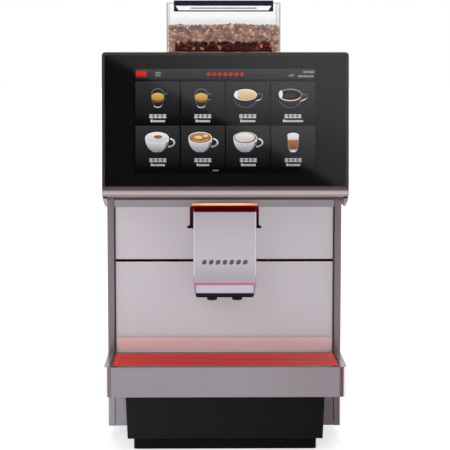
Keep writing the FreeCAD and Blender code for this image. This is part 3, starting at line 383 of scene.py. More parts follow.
def lamp_material():
    m = M("light_bar")
    m.p.inputs["Base Color"].default_value = srgb(120, 60, 30)
    m.set(rough=0.35)
    lo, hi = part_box("led_strip")
    mid, half = (lo.z + hi.z) / 2, (hi.z - lo.z) / 2
    sep = m.n("SeparateXYZ")
    m.link(m.tc.outputs["Object"], sep.inputs[0])
    d = m.n("Math", operation="SUBTRACT")
    m.link(sep.outputs["Z"], d.inputs[0])
    d.inputs[1].default_value = mid
    a = m.n("Math", operation="ABSOLUTE")
    m.link(d.outputs[0], a.inputs[0])
    # glow falls off above and below the row of diodes, and towards both ends
    tall = m.n("MapRange", interpolation_type="SMOOTHSTEP")
    tall.inputs["From Min"].default_value = half * 0.35
    tall.inputs["From Max"].default_value = half * 1.05
    tall.inputs["To Min"].default_value = 1.0
    tall.inputs["To Max"].default_value = 0.25
    m.link(a.outputs[0], tall.inputs["Value"])
    ends = m.n("Math", operation="SUBTRACT")
    ends.inputs[0].default_value = 1.0
    m.link(wide(m, "X", 0.030, 0.062), ends.inputs[1])
    both = m.n("Math", operation="MULTIPLY_ADD")
    m.link(ends.outputs[0], both.inputs[0])
    both.inputs[1].default_value = 0.55
    both.inputs[2].default_value = 0.45
    k = times(m, tall.outputs[0], both.outputs[0], m.grey(m.noise(220, 1.0), 0.94, 1.06))
    col = m.ramp(k, [(0.1, (0.50, 0.075, 0.02, 1)), (0.45, (0.95, 0.24, 0.08, 1)), (0.95, (1.0, 0.56, 0.24, 1))])
    m.link(col, m.p.inputs["Emission Color"])
    m.set(emit=1.05)
    return m.m


MATS["light_bar"] = lamp_material()


def glass_sheet():
    """Cover glass: dark-tinted and polished, what is behind it shows through."""
    m = M("screen_glass")
    m.nt.nodes.remove(m.p)
    smear = m.noise(9, 1.0, 0.4, (1, 1, 0.6))
    gl = m.n("BsdfGlossy")
    m.link(m.grey(smear, 0.024, 0.028, 0.3, 0.7), gl.inputs["Roughness"])
    gl.inputs["Color"].default_value = (1, 1, 1, 1)
    tr = m.n("BsdfTransparent")
    tr.inputs["Color"].default_value = (0.93, 0.93, 0.94, 1)
    fr = m.n("Fresnel")
    fr.inputs["IOR"].default_value = 1.5
    # only the outer face mirrors; the inner one is bonded to the print
    geo = m.n("NewGeometry")
    outer = invert(m, geo.outputs["Backfacing"])
    mix = m.n("MixShader")
    m.link(times(m, fr.outputs[0], outer), mix.inputs[0])
    m.link(tr.outputs[0], mix.inputs[1])
    m.link(gl.outputs[0], mix.inputs[2])
    m.link(mix.outputs[0], m.out.inputs["Surface"])
    return m.m


MATS["screen_glass"] = glass_sheet()


def ragged(m, level):
    """1 below a level that wanders a little from side to side, 0 above it."""
    sep = m.n("SeparateXYZ")
    m.link(m.tc.outputs["Object"], sep.inputs[0])
    wob = m.n("MapRange")
    wob.inputs["To Min"].default_value = -0.0120
    wob.inputs["To Max"].default_value = 0.0120
    m.link(m.noise(88, 3.0, 0.6, (1, 0, 0)), wob.inputs["Value"])
    z = m.n("Math", operation="ADD")
    m.link(sep.outputs["Z"], z.inputs[0])
    m.link(wob.outputs["Result"], z.inputs[1])
    mr = m.n("MapRange", interpolation_type="SMOOTHSTEP")
    mr.inputs["From Min"].default_value = level
    mr.inputs["From Max"].default_value = level + 0.0018
    m.link(z.outputs[0], mr.inputs["Value"])
    return invert(m, mr.outputs["Result"])


def clear_plastic():
    """Thin clear wall: see-through, with a painted hazy reflection over it, darker where it is seen edge on."""
    m = M("clear_plastic")
    m.nt.nodes.remove(m.p)
    edge = m.n("LayerWeight")
    edge.inputs["Blend"].default_value = 0.22
    tint = m.ramp(edge.outputs["Facing"], [(0.0, (0.998, 0.998, 1.0, 1)), (0.55, (0.95, 0.955, 0.965, 1)), (0.9, (0.42, 0.43, 0.46, 1)), (1.0, (0.28, 0.29, 0.32, 1))])
    across = m.n("Math", operation="MAXIMUM")
    m.link(where(m, "Y", 0.5, 0.8, normal=True), across.inputs[0])
    m.link(invert(m, where(m, "Y", -0.8, -0.5, normal=True)), across.inputs[1])
    # painted shade: the front and back walls are darker at their ends by the side walls
    tint = blend(m, times(m, wide(m, "X", 0.1004, 0.1010), across.outputs[0]), tint, (0.54, 0.545, 0.55, 1.0), "MULTIPLY")
    tr = m.n("BsdfTransparent")
    m.link(tint, tr.inputs["Color"])
    haze = m.n("BsdfDiffuse")
    # painted reflection: the haze in front of the beans is reddish brown, and it stays neutral above them
    haze_tone = m.ramp(m.noise(34, 4.0, 0.6), [(0.3, (0.86, 0.855, 0.885, 1)), (0.7, (0.95, 0.945, 0.97, 1))])
    m.link(blend(m, where(m, "Z", 0.7285, 0.7330), (0.84, 0.66, 0.61, 1.0), haze_tone), haze.inputs["Color"])
    hazy_reflection = m.n("MixShader")
    lower = times(m, ragged(m, 0.6997), invert(m, wide(m, "X", 0.0875, 0.0890)))
    amount = m.n("Math", operation="MULTIPLY")
    m.link(times(m, invert(m, lower), invert(m, where(m, "Z", 0.738, 0.748))), amount.inputs[0])
    amount.inputs[1].default_value = 0.105
    m.link(amount.outputs[0], hazy_reflection.inputs[0])
    m.link(tr.outputs[0], hazy_reflection.inputs[1])
    m.link(haze.outputs[0], hazy_reflection.inputs[2])
    gl = m.n("BsdfGlossy")
    gl.inputs["Color"].default_value = (1, 1, 1, 1)
    m.link(m.grey(m.noise(38, 4.0, 0.6), 0.03, 0.10, 0.4, 0.75), gl.inputs["Roughness"])
    fr = m.n("Fresnel")
    fr.inputs["IOR"].default_value = 1.4
    m.link(m.bump(m.noise(30, 2.0), 0.03, 0.0002), fr.inputs["Normal"])
    # the ray isn't bent, so an inner face must not turn into a full mirror past 45 degrees
    geo = m.n("NewGeometry")
    mix = m.n("MixShader")
    m.link(times(m, fr.outputs[0], invert(m, geo.outputs["Backfacing"])), mix.inputs[0])
    m.link(hazy_reflection.outputs[0], mix.inputs[1])
    m.link(gl.outputs[0], mix.inputs[2])
    m.link(mix.outputs[0], m.out.inputs["Surface"])
    return m.m


MATS["clear_plastic"] = clear_plastic()


def bean_material():
    m = M("bean_brown")
    big = m.noise(70, 2.0)
    fine = m.noise(900, 3.0, 0.6)
    isl = m.n("NewGeometry")
    # painted light: beans above the ragged level are painted much lighter than those below it, carrying the wall's hazy
    # reflection, and both ranges end in painted highlights
    upper = m.ramp(isl.outputs["Random Per Island"], [(0.0, srgb(58, 22, 16)), (0.25, srgb(126, 68, 48)), (0.55, srgb(200, 134, 104)), (0.85, srgb(246, 196, 166)), (1.0, srgb(255, 240, 224))])
    lower = m.ramp(isl.outputs["Random Per Island"], [(0.0, srgb(20, 3, 2)), (0.5, srgb(84, 20, 12)), (0.8, srgb(144, 50, 30)), (1.0, srgb(250, 150, 110))])
    deep = times(m, ragged(m, 0.6997), invert(m, wide(m, "X", 0.086, 0.089)))
    per = blend(m, deep, upper, lower)
    mix = m.n("MixRGB", blend_type="MULTIPLY")
    mix.inputs[0].default_value = 0.6
    m.link(per, mix.inputs[1])
    m.link(m.ramp(big, [(0.3, (0.75, 0.72, 0.7, 1)), (0.7, (1, 1, 1, 1))]), mix.inputs[2])
    m.link(mix.outputs[0], m.p.inputs["Base Color"])
    m.link(m.grey(fine, 0.26, 0.5), m.p.inputs["Roughness"])
    m.set(coat=0.25, coat_rough=0.2)
    m.link(m.bump(fine, 0.25, 0.0003), m.p.inputs["Normal"])
    return m.m


MATS["bean_brown"] = bean_material()

slot_of = {s["node"]: s["material_slot"] for s in frame["record"]["subparts"]}
for name, o in frame["nodes"].items():
    o.data.materials.clear()
    o.data.materials.append(MATS[slot_of[name]])


# ------------------------------------------------------------------ mesh helpers
def make(name, bm, mats, body=None, smooth=False):
    me = bpy.data.meshes.new(name)
    bm.normal_update()
    bm.to_mesh(me)
    bm.free()
    o = bpy.data.objects.new(name, me)
    scene.collection.objects.link(o)
    for m in mats if isinstance(mats, (list, tuple)) else [mats]:
        me.materials.append(m)
    if smooth:
        for p in me.polygons:
            p.use_smooth = True
    if body:
        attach(o, body)
    return o


# ------------------------------------------------------------------ picture on the screen
g_lo, g_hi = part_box("cover_glass")
SLOPE = math.tan(math.radians(4.85))
FACE_Z, FACE_Y = 0.4393, -0.270


def face_y(z, d):
    return FACE_Y + (z - FACE_Z) * SLOPE + d * MM


def ui(cx, cy, layer):
    # layout grid of the picture, about 0.21 mm a step, from its top left corner
    x = (-159.9 + 0.2102 * cx) * MM
    z = (663.4 - 0.20915 * cy) * MM
    return Vector((x, face_y(z, 3.26 - 0.02 * layer), z))


def glow_material(name, top, bottom=None, z0=0.0, z1=1.0, strength=1.0, grain=0.05, axis="Z"):
    """Lit picture colour with a run from top to bottom."""
    m = M(name)
    m.nt.nodes.remove(m.p)
    em = m.n("Emission")
    em.inputs["Strength"].default_value = strength
    sep = m.n("SeparateXYZ")
    m.link(m.tc.outputs["Object"], sep.inputs[0])
    mr = m.n("MapRange")
    mr.inputs["From Min"].default_value = z0
    mr.inputs["From Max"].default_value = z1
    m.link(sep.outputs[axis], mr.inputs["Value"])
    add = m.n("Math", operation="ADD")
    m.link(mr.outputs[0], add.inputs[0])
    m.link(m.grey(m.noise(240, 2.0), -grain, grain), add.inputs[1])
    col = m.ramp(add.outputs[0], [(0.0, bottom or top), (1.0, top)])
    m.link(col, em.inputs["Color"])
    m.link(em.outputs[0], m.out.inputs["Surface"])
    return m.m


def zz(cy):
    return (663.4 - 0.20915 * cy) * MM


class Sheet:
    """Flat shapes of the picture, one material a shape, a little apart in depth."""

    def __init__(self):
        self.bm = bmesh.new()
        self.mats = []

    def idx(self, mat):
        if mat not in self.mats:
            self.mats.append(mat)
        return self.mats.index(mat)

    def poly(self, pts, mat, layer):
        vs = [self.bm.verts.new(ui(x, y, layer)) for x, y in pts]
        f = self.bm.faces.new(vs)
        f.material_index = self.idx(mat)
        f.normal_update()
        if f.normal.y > 0:
            f.normal_flip()

    def rect(self, x0, y0, x1, y1, mat, layer, r=0):
        if r <= 0:
            return self.poly([(x0, y0), (x1, y0), (x1, y1), (x0, y1)], mat, layer)
        pts = []
        for cx, cy, a0 in ((x1 - r, y0 + r, -90), (x1 - r, y1 - r, 0), (x0 + r, y1 - r, 90), (x0 + r, y0 + r, 180)):
            for k in range(5):
                a = math.radians(a0 + 22.5 * k)
                pts.append((cx + r * math.cos(a), cy + r * math.sin(a)))
        self.poly(pts, mat, layer)

    def ellipse(self, cx, cy, rx, ry, mat, layer, n=40, a0=0, a1=360):
        pts = [(cx + rx * math.cos(math.radians(a0 + (a1 - a0) * k / n)), cy + ry * math.sin(math.radians(a0 + (a1 - a0) * k / n)))
               for k in range(n + (0 if a1 - a0 == 360 else 1))]
        self.poly(pts, mat, layer)

    def band(self, pts, w, mat, layer, closed=False):
        # a stroke of width w along a path; w may vary from end to end
        n = len(pts)
        ws = w if isinstance(w, (list, tuple)) else [w] * n
        left, right = [], []
        for i, (x, y) in enumerate(pts):
            if closed:
                p, q = pts[i - 1], pts[(i + 1) % n]
            else:
                p, q = pts[max(i - 1, 0)], pts[min(i + 1, n - 1)]
            dx, dy = q[0] - p[0], q[1] - p[1]
            L = math.hypot(dx, dy) or 1
            nx, ny = -dy / L, dx / L
            left.append((x + nx * ws[i] / 2, y + ny * ws[i] / 2))
            right.append((x - nx * ws[i] / 2, y - ny * ws[i] / 2))
        m = n if closed else n - 1
        for i in range(m):
            j = (i + 1) % n
            self.poly([left[i], left[j], right[j], right[i]], mat, layer)


def arc(cx, cy, rx, ry, a0, a1, n=22):
    return [(cx + rx * math.cos(math.radians(a0 + (a1 - a0) * k / n)), cy + ry * math.sin(math.radians(a0 + (a1 - a0) * k / n))) for k in range(n + 1)]


blackout = paint("print_black", srgb(10, 12, 14), rough=0.6, bump=0.0, vary=0.2, bevel=0.0)
blackout.p.inputs["Specular IOR Level"].default_value = 0.0
BLACKOUT = blackout.m
bar_m = glow_material("ui_bar", srgb(62, 62, 62), srgb(40, 40, 41), zz(128), zz(45))
tile1_m = glow_material("ui_tile_a", srgb(54, 54, 55), srgb(6, 6, 7), zz(480), zz(145))
tile2_m = glow_material("ui_tile_b", srgb(54, 54, 55), srgb(9, 9, 10), zz(830), zz(497))
back_m = glow_material("ui_back", srgb(10, 10, 11), srgb(3, 3, 4), zz(870), zz(40))
red_m = glow_material("ui_red", srgb(236, 38, 28), srgb(206, 24, 18), zz(110), zz(60))
grey_m = glow_material("ui_grey", srgb(168, 168, 168), srgb(150, 150, 150), zz(120), zz(60))
white_m = glow_material("ui_white", srgb(250, 250, 250), srgb(222, 222, 224), zz(700), zz(540))
porc_m = glow_material("ui_porcelain", srgb(248, 248, 250), srgb(150, 150, 156), zz(705), zz(590))
shade_m = glow_material("ui_shadow", srgb(120, 120, 126), srgb(88, 88, 94), zz(700), zz(600))
shade1_m = glow_material("ui_shadow_soft", srgb(184, 184, 190), srgb(128, 128, 134), zz(700), zz(600))
text_m = glow_material("ui_text", srgb(224, 224, 226), srgb(196, 196, 198), zz(830), zz(400))
gold_m = glow_material("ui_gold", srgb(240, 202, 116), srgb(196, 132, 44), zz(305), zz(222))
gold_lo_m = glow_material("ui_gold_low", srgb(198, 128, 40), srgb(70, 34, 10), zz(322), zz(280))
cream_m = glow_material("ui_cream", srgb(246, 226, 178), srgb(214, 172, 110), zz(300), zz(215))
dark_m = glow_material("ui_dark", srgb(34, 22, 22), srgb(12, 8, 8), zz(350), zz(225))
darkcup_m = glow_material("ui_darkcup", srgb(62, 48, 50), srgb(30, 22, 24), zz(355), zz(300))
line_m = glow_material("ui_line", srgb(150, 152, 160), srgb(112, 114, 124), zz(355), zz(195))
hot_m = glow_material("ui_glint", srgb(255, 255, 255), srgb(226, 228, 232), zz(350), zz(200))
blue_m = glow_material("ui_blue", srgb(60, 72, 120), srgb(40, 48, 90), zz(355), zz(300))
latte_m = glow_material("ui_latte", srgb(206, 148, 84), srgb(150, 92, 44), zz(640), zz(550))
swirl_m = glow_material("ui_swirl", srgb(255, 232, 190), srgb(240, 206, 150), zz(620), zz(560))
cocoa_m = glow_material("ui_cocoa", srgb(170, 116, 62), srgb(138, 88, 42), zz(600), zz(570))
foam_m = glow_material("ui_foam", srgb(254, 254, 254), srgb(214, 214, 218), zz(612), zz(552))
brown_m = glow_material("ui_layer", srgb(186, 124, 74), srgb(120, 66, 30), zz(685), zz(605))

s = Sheet()
# black print round the picture, and the picture's own black ground
GX0, GX1 = (g_lo.x / MM + 0.6 + 159.9) / 0.2102, (g_hi.x / MM - 0.6 + 159.9) / 0.2102
GY0, GY1 = (663.4 - g_hi.z / MM + 0.6) / 0.20915, (663.4 - g_lo.z / MM - 0.6) / 0.20915
ax0, ay0, ax1, ay1 = 26, 38, 1498, 876
s.poly([(GX0, GY0), (GX1, GY0), (ax1, ay0), (ax0, ay0)], BLACKOUT, 10)
s.poly([(GX1, GY0), (GX1, GY1), (ax1, ay1), (ax1, ay0)], BLACKOUT, 10)
s.poly([(GX1, GY1), (GX0, GY1), (ax0, ay1), (ax1, ay1)], BLACKOUT, 10)
s.poly([(GX0, GY1), (GX0, GY0), (ax0, ay0), (ax0, ay1)], BLACKOUT, 10)
s.rect(ax0, ay0, ax1, ay1, back_m, 0)
# status bar
s.rect(45, 45, 1478, 128, bar_m, 1)
s.rect(50, 62, 132, 106, red_m, 2, r=7)
for y in (70, 84, 98):
    s.rect(203, y, 246, y + 6, grey_m, 2)
for k in range(4):
    s.rect(1262 + 11 * k, 106 - 8 - 5 * k, 1269 + 11 * k, 106, grey_m, 2)
x = 1382
for w in (16, 12, 6, 16, 14):
    s.rect(x, 62, x + w, 78, grey_m, 2)
    x += w + 5
x = 1340
for w in (20, 14, 20, 14, 12, 16):
    s.rect(x, 96, x + w, 112, grey_m, 2)
    x += w + 5
# plain ornament in the middle of the bar: a row of leaning beans
for k in range(7):
    cx = 760 + (k - 3) * 44
    for half in (-1, 1):
        pts = []
        for i in range(13):
            a = math.pi * i / 12
            px, py = 16 * math.cos(a), half * (1.5 + 12 * math.sin(a))
            pts.append((cx + px * 0.88 + py * 0.48, 88 - px * 0.48 + py * 0.88))
        s.poly(pts, red_m, 2)
# tiles
COLS = [(45, 395), (408, 755), (765, 1112), (1125, 1475)]
for x0, x1 in COLS:
    s.rect(x0, 145, x1, 480, tile1_m, 1)
    s.rect(x0, 497, x1, 830, tile2_m, 1)
s.rect(658, 850, 706, 858, grey_m, 2, r=3)


def label(cx, y, big, small):
    total = sum(big) + 5 * (len(big) - 1)
    x = cx - total / 2
    for w in big:
        # each block is a small framed square with a bar across, a made-up mark
        s.rect(x, y, x + w, y + 6, text_m, 2)
        s.rect(x, y + 11, x + w, y + 17, text_m, 2)
        s.rect(x, y + 22, x + w, y + 30, text_m, 2)
        s.rect(x + w * 0.38, y, x + w * 0.62, y + 30, text_m, 3)
        x += w + 5
    total = sum(small) + 4 * (len(small) - 1)
    x = cx - total / 2
    for k, w in enumerate(small):
        s.rect(x, y + 46 - (5 if k == 0 else 0), x + w, y + 62, text_m, 2)
        x += w + 4


label(222, 407, [30, 30, 30, 30], [16, 12, 12, 12, 14, 12, 12])
label(580, 407, [30, 30, 30, 30], [14, 12, 14, 12, 12, 14, 12])
label(938, 407, [30, 30, 30, 30], [16, 12, 14, 12, 14, 12, 14])
label(1298, 407, [30, 30, 30, 30], [16, 12, 14, 12, 12, 8, 12, 14, 12, 12])
label(222, 757, [30, 30, 30, 30], [14, 12, 8, 14, 12, 12, 14])
label(580, 757, [30, 30, 30, 30], [14, 14, 12, 14, 12, 12])
label(943, 757, [30, 30, 30, 30], [14, 14, 12, 14, 12, 14, 12])
label(1300, 757, [30, 30, 30, 30], [14, 12, 12, 8, 14, 12, 14])

# two small espresso glasses
for cx, top in ((222, 203), (568, 205)):
    s.band(arc(cx, top + 46, 52, 46, 200, 340), 4, line_m, 2)
    s.band([(cx - 52, top + 40), (cx - 46, top + 96), (cx - 24, top + 138), (cx, top + 148), (cx + 24, top + 138), (cx + 46, top + 96), (cx + 52, top + 40)], 3, line_m, 2)
    s.ellipse(cx, top + 62, 50, 30, gold_m, 3)
    s.poly([(cx - 50, top + 64), (cx - 44, top + 86), (cx - 26, top + 106), (cx, top + 112), (cx + 26, top + 106), (cx + 44, top + 86), (cx + 50, top + 64)], gold_lo_m, 2)
    s.ellipse(cx - 8, top + 60, 30, 16, gold_m, 4)
    s.band([(cx - 34, top + 136), (cx - 12, top + 147), (cx + 14, top + 147), (cx + 34, top + 134)], [3, 7, 7, 3], hot_m, 4)
    s.band([(cx + 50, top + 40), (cx + 66, top + 38), (cx + 78, top + 44)], 5, line_m, 3)
    s.band([(cx + 48, top + 84), (cx + 64, top + 86), (cx + 76, top + 80)], 5, blue_m if cx < 300 else gold_lo_m, 3)
# wide glass cup
s.ellipse(920, 252, 92, 46, hot_m, 2)
s.ellipse(920, 254, 86, 40, cream_m, 3)
s.ellipse(900, 260, 52, 22, cream_m, 4)
s.band(arc(920, 262, 96, 92, 18, 162), 4, line_m, 2)
s.band(arc(920, 268, 70, 82, 30, 150), 7, blue_m, 3)
s.ellipse(848, 250, 14, 30, hot_m, 5)
s.band([(1008, 246), (1036, 240), (1060, 262), (1042, 288), (1004, 302)], [5, 5, 4, 6, 4], line_m, 3)
s.band([(1000, 300), (1024, 294), (1044, 286)], [3, 8, 3], hot_m, 4)
# dark coffee in a glass cup
s.band(arc(1278, 262, 96, 92, 18, 162), 4, line_m, 2)
s.poly([(1278 + 80 * math.cos(math.radians(a)), 268 + 82 * math.sin(math.radians(a))) for a in range(10, 171, 10)], darkcup_m, 2)
s.ellipse(1278, 250, 94, 48, line_m, 3)
s.ellipse(1278, 252, 86, 40, dark_m, 4)
s.band(arc(1278, 256, 86, 42, 20, 160), 7, swirl_m, 5)
s.ellipse(1272, 258, 48, 18, darkcup_m, 6)
s.ellipse(1202, 248, 15, 32, hot_m, 5)
s.band([(1366, 250), (1396, 246), (1416, 262), (1400, 286), (1364, 300)], [6, 5, 4, 6, 4], line_m, 3)
s.band([(1356, 304), (1384, 292), (1408, 280)], [4, 9, 3], hot_m, 4)


def bowl(y, k=1.0):
    return 94 * k * math.sqrt(max(0.0, 1 - ((y - 598) / 113.0) ** 2))


def china(cx, surface):
    s.band(arc(cx + 92, 632, 46, 32, -78, 96, 14), 12, porc_m, 2)
    s.band(arc(cx + 92, 634, 46, 32, 10, 90, 8), [3, 4, 5, 5, 5, 4, 4, 3, 2], shade_m, 3)
    ys = [600 + 5.2 * k for k in range(21)]
    pts = [(cx - bowl(y), y) for y in ys] + [(cx - 25, 708), (cx + 25, 708)] + [(cx + bowl(y), y) for y in reversed(ys)]
    s.poly(pts, porc_m, 3)
    ys = [628 + 4.5 * k for k in range(17)]
    for k, mat in ((0.78, shade1_m), (0.90, shade_m)):
        s.poly([(cx + bowl(y, k), y) for y in ys] + [(cx + bowl(y) - 1, y) for y in reversed(ys)], mat, 4 if k < 0.8 else 5)
    s.ellipse(cx, 594, 95, 47, white_m, 6)
    surface(cx)


def flat_white(cx):
    s.ellipse(cx, 594, 88, 41, foam_m, 7)
    s.ellipse(cx + 8, 586, 34, 14, cocoa_m, 8)


def latte_art(cx):
    s.ellipse(cx, 594, 88, 41, latte_m, 7)
    s.ellipse(cx - 14, 590, 32, 13, swirl_m, 8)
    s.ellipse(cx + 42, 578, 18, 9, swirl_m, 8)
    s.band(arc(cx, 596, 62, 28, 20, 160), 5, swirl_m, 8)


def cappuccino(cx):
    s.ellipse(cx, 594, 90, 43, latte_m, 7)
    s.ellipse(cx - 4, 592, 78, 36, foam_m, 8)


china(216, flat_white)
china(560, latte_art)
china(918, cappuccino)
# tall layered glass
s.poly([(1254, 566), (1346, 566), (1340, 660), (1330, 700), (1318, 710), (1282, 710), (1270, 700), (1260, 660)], porc_m, 2)
s.poly([(1257, 606), (1343, 606), (1338, 660), (1330, 686), (1270, 686), (1262, 660)], brown_m, 3)
s.ellipse(1300, 574, 45, 20, foam_m, 4)
s.poly([(1255, 576), (1345, 576), (1343, 610), (1257, 610)], foam_m, 4)
s.ellipse(1300, 700, 22, 7, hot_m, 4)
s.band([(1328, 616), (1326, 680)], [5, 4], latte_m, 5)
make("screen_picture", s.bm, s.mats, "head")

# ------------------------------------------------------------------ roasted beans
b_lo, b_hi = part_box("coffee_beans")
h_lo, h_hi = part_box("hopper_body")


def bean_mesh(nu=10, nv=7):
    """One bean: a domed half with a flat, creased face."""
    vs, fs = [], []
    for i in range(nv + 1):
        th = math.pi * i / nv
        for j in range(nu):
            ph = 2 * math.pi * j / nu
            x = 5.2 * math.cos(th)
            y = 3.7 * math.sin(th) * math.cos(ph)
            z = 3.0 * math.sin(th) * math.sin(ph)
            if z < 0:
                z *= 0.42
                if abs(y) < 0.9:
                    z += 0.9 * (1 - abs(x) / 5.6)
            vs.append((x, y, z))
    for i in range(nv):
        for j in range(nu):
            fs.append((i * nu + j, i * nu + (j + 1) % nu, (i + 1) * nu + (j + 1) % nu, (i + 1) * nu + j))
    return vs, fs


BV, BF = bean_mesh()


def bean_field(name, places, body):
    verts, faces = [], []
    for p, rot, k in places:
        base = len(verts)
        for v in BV:
            verts.append(p + rot @ (Vector(v) * (MM * k)))
        faces += [tuple(base + i for i in f) for f in BF]
    me = bpy.data.meshes.new(name)
    me.from_pydata(verts, [], faces)
    for p in me.polygons:
        p.use_smooth = True
    me.materials.append(MATS["bean_brown"])
    o = bpy.data.objects.new(name, me)
    scene.collection.objects.link(o)
    bm = bmesh.new()
    bm.from_mesh(me)
    bmesh.ops.remove_doubles(bm, verts=bm.verts, dist=1e-6)
    bmesh.ops.recalc_face_normals(bm, faces=bm.faces)
    bm.to_mesh(me)
    bm.free()
    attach(o, body)
    return o


def rand_rot(flat=0.0):
    # flat is not used
    q = Vector((rng.gauss(0, 1), rng.gauss(0, 1), rng.gauss(0, 1))).normalized().to_track_quat("X", "Z").to_matrix()
    return q @ Matrix.Rotation(rng.uniform(0, 6.283), 3, "X")


def top_level(x, y):
    return min(0.7338, 0.7303 + 0.0052 * noise.noise(Vector((x * 17, y * 14, 3.1))) + 0.0016 * noise.noise(Vector((x * 70, y * 70, 7.7))))


wall_x0, wall_x1, wall_y0, wall_y1 = b_lo.x + 0.0053, b_hi.x - 0.0053, b_lo.y + 0.0053, b_hi.y - 0.0053
places = []


def jit(a=0.0016):
    return rng.uniform(-a, a)


def seat(x, y, z, k):
    places.append((Vector((min(max(x, wall_x0), wall_x1), min(max(y, wall_y0), wall_y1), min(z, b_hi.z - 0.0046))), rand_rot(), k))


step = 0.0072
nx = int((wall_x1 - wall_x0) / step) + 1
ny = int((wall_y1 - wall_y0) / step) + 1
for i in range(nx):
    for j in range(ny):
        x = wall_x0 + (wall_x1 - wall_x0) * i / (nx - 1)
        y = wall_y0 + (wall_y1 - wall_y0) * j / (ny - 1)
        seat(x + jit(), y + jit(), top_level(x, y) - 0.003 + jit(0.0012), rng.uniform(0.88, 1.06))
        if i in (0, nx - 1) or j in (0, ny - 1):
            for lay in range(9):
                z = top_level(x, y) - 0.003 - 0.0056 * (lay + 1)
                if z > 0.6842:
                    seat(x + jit(0.003), y + jit(0.0012), z + jit(0.001), rng.uniform(0.86, 1.06))
beans = bean_field("bean_heap", places, "hopper")


def blob(name, lo, hi, mat, body, r=0.004, lift=None):
    """A slightly uneven block, shaded smooth, that fills the heart of a heap."""
    bm = bmesh.new()
    bmesh.ops.create_cube(bm, size=1.0)
    bmesh.ops.subdivide_edges(bm, edges=bm.edges, cuts=6, use_grid_fill=True)
    for v in bm.verts:
        c = Vector((v.co.x + 0.5, v.co.y + 0.5, v.co.z + 0.5))
        p = Vector((lo.x + (hi.x - lo.x) * c.x, lo.y + (hi.y - lo.y) * c.y, lo.z + (hi.z - lo.z) * c.z))
        n = noise.noise(p * 60) * 0.0008
        v.co = p + Vector((n, n, n))
    return make(name, bm, mat, body, smooth=True)


heart = blob("bean_core", Vector((b_lo.x + 0.0062, b_lo.y + 0.0062, 0.6822)), Vector((b_hi.x - 0.0062, b_hi.y - 0.0062, 0.7215)), MATS["bean_brown"], "hopper")
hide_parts("coffee_beans")

# ------------------------------------------------------------------ plain mark on the spout
c_lo, c_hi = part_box("spout_cover")
mark_m = paint("mark_grey", srgb(58, 56, 60), rough=0.4, bump=0.05, vary=0.08, bevel=0.0).m
bm = bmesh.new()


def raised(pts, y, t=0.00025):
    front = [bm.verts.new((x, y - t, z)) for x, z in pts]
    back = [bm.verts.new((x, y + 0.0001, z)) for x, z in pts]
    bm.faces.new(front)
    n = len(pts)
    for i in range(n):
        bm.faces.new((front[i], back[i], back[(i + 1) % n], front[(i + 1) % n]))


zc = c_lo.z + 0.0395
yf = c_lo.y
for k in range(7):
    # a row of small leaning beans, each split by its crease
    cx = (k - 3) * 0.0118
    for half in (-1, 1):
        pts = []
        for i in range(15):
            a = math.pi * i / 14
            px, pz = 0.0047 * math.cos(a), half * (0.0005 + 0.0034 * math.sin(a))
            pts.append((cx + px * 0.88 - pz * 0.48 + 0.0006 * half, zc + px * 0.48 + pz * 0.88))
        raised(pts, yf)
bmesh.ops.recalc_face_normals(bm, faces=bm.faces)
make("spout_mark", bm, mark_m, "spout")

# ------------------------------------------------------------------ painted shade in the side gaps, and the spout's dark top plate with a painted red glow
# painted shade colour for the strips in the side gaps
gap_shade_m = paint("gap_shade_brown", srgb(92, 74, 74), rough=0.5, bump=0.15, vary=0.08, bevel=0.0).m
# painted light: dark red with a glow, standing in for the light bar's red reflection over the shaded recess
cap = paint("cap_red_glow", srgb(44, 4, 8), rough=0.8, bump=0.05, vary=0.1, bevel=0.0)
cap.p.inputs["Specular IOR Level"].default_value = 0.0
cap.p.inputs["Emission Color"].default_value = (0.052, 0.0006, 0.003, 1.0)
cap.set(emit=1.0)
cap_m = cap.m


def slab_mesh(name, lo, hi, mat, body, r=0.0004):
    bm = bmesh.new()
    bmesh.ops.create_cube(bm, size=1.0)
    for v in bm.verts:
        v.co = Vector((lo[0] + (hi[0] - lo[0]) * (v.co.x + 0.5), lo[1] + (hi[1] - lo[1]) * (v.co.y + 0.5), lo[2] + (hi[2] - lo[2]) * (v.co.z + 0.5)))
    bmesh.ops.bevel(bm, geom=bm.edges[:], offset=r, segments=2, affect="EDGES", clamp_overlap=True)
    return make(name, bm, mat, body)


f_lo, f_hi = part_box("lower_fascia")
u_lo, u_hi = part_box("upper_fascia")
p_lo, p_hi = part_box("pillar_right")
# painted shade: dark brown strips fill the gaps between the front panels and the posts, standing in for the posts'
# shaded inner faces
for side in (-1, 1):
    xs = sorted((side * (f_hi.x + 0.0002), side * (p_lo.x - 0.0001)))
    slab_mesh("side_gap_shade_" + ("l" if side < 0 else "r"), (xs[0], f_lo.y + 0.0012, f_lo.z), (xs[1], f_lo.y + 0.0032, u_hi.z), gap_shade_m, "cabinet")
# painted light: the glowing dark red plate on top of the spout cover
slab_mesh("spout_cap", (c_lo.x + 0.0015, c_lo.y + 0.0014, c_hi.z - 0.0001), (c_hi.x - 0.0015, c_hi.y - 0.0004, c_hi.z + 0.0006), cap_m, "spout", 0.0002)

# ------------------------------------------------------------------ studio
bm = bmesh.new()
bmesh.ops.create_grid(bm, x_segments=8, y_segments=8, size=30.0)
floor_m = paint("floor_pale", srgb(196, 196, 198), rough=0.6, bump=0.02, vary=0.006, bevel=0.0, cloud=2.0)
floor_m.p.inputs["Emission Color"].default_value = (1.0, 1.0, 1.0, 1.0)
floor_m.set(emit=0.56)
floor = make("floor", bm, floor_m.m)

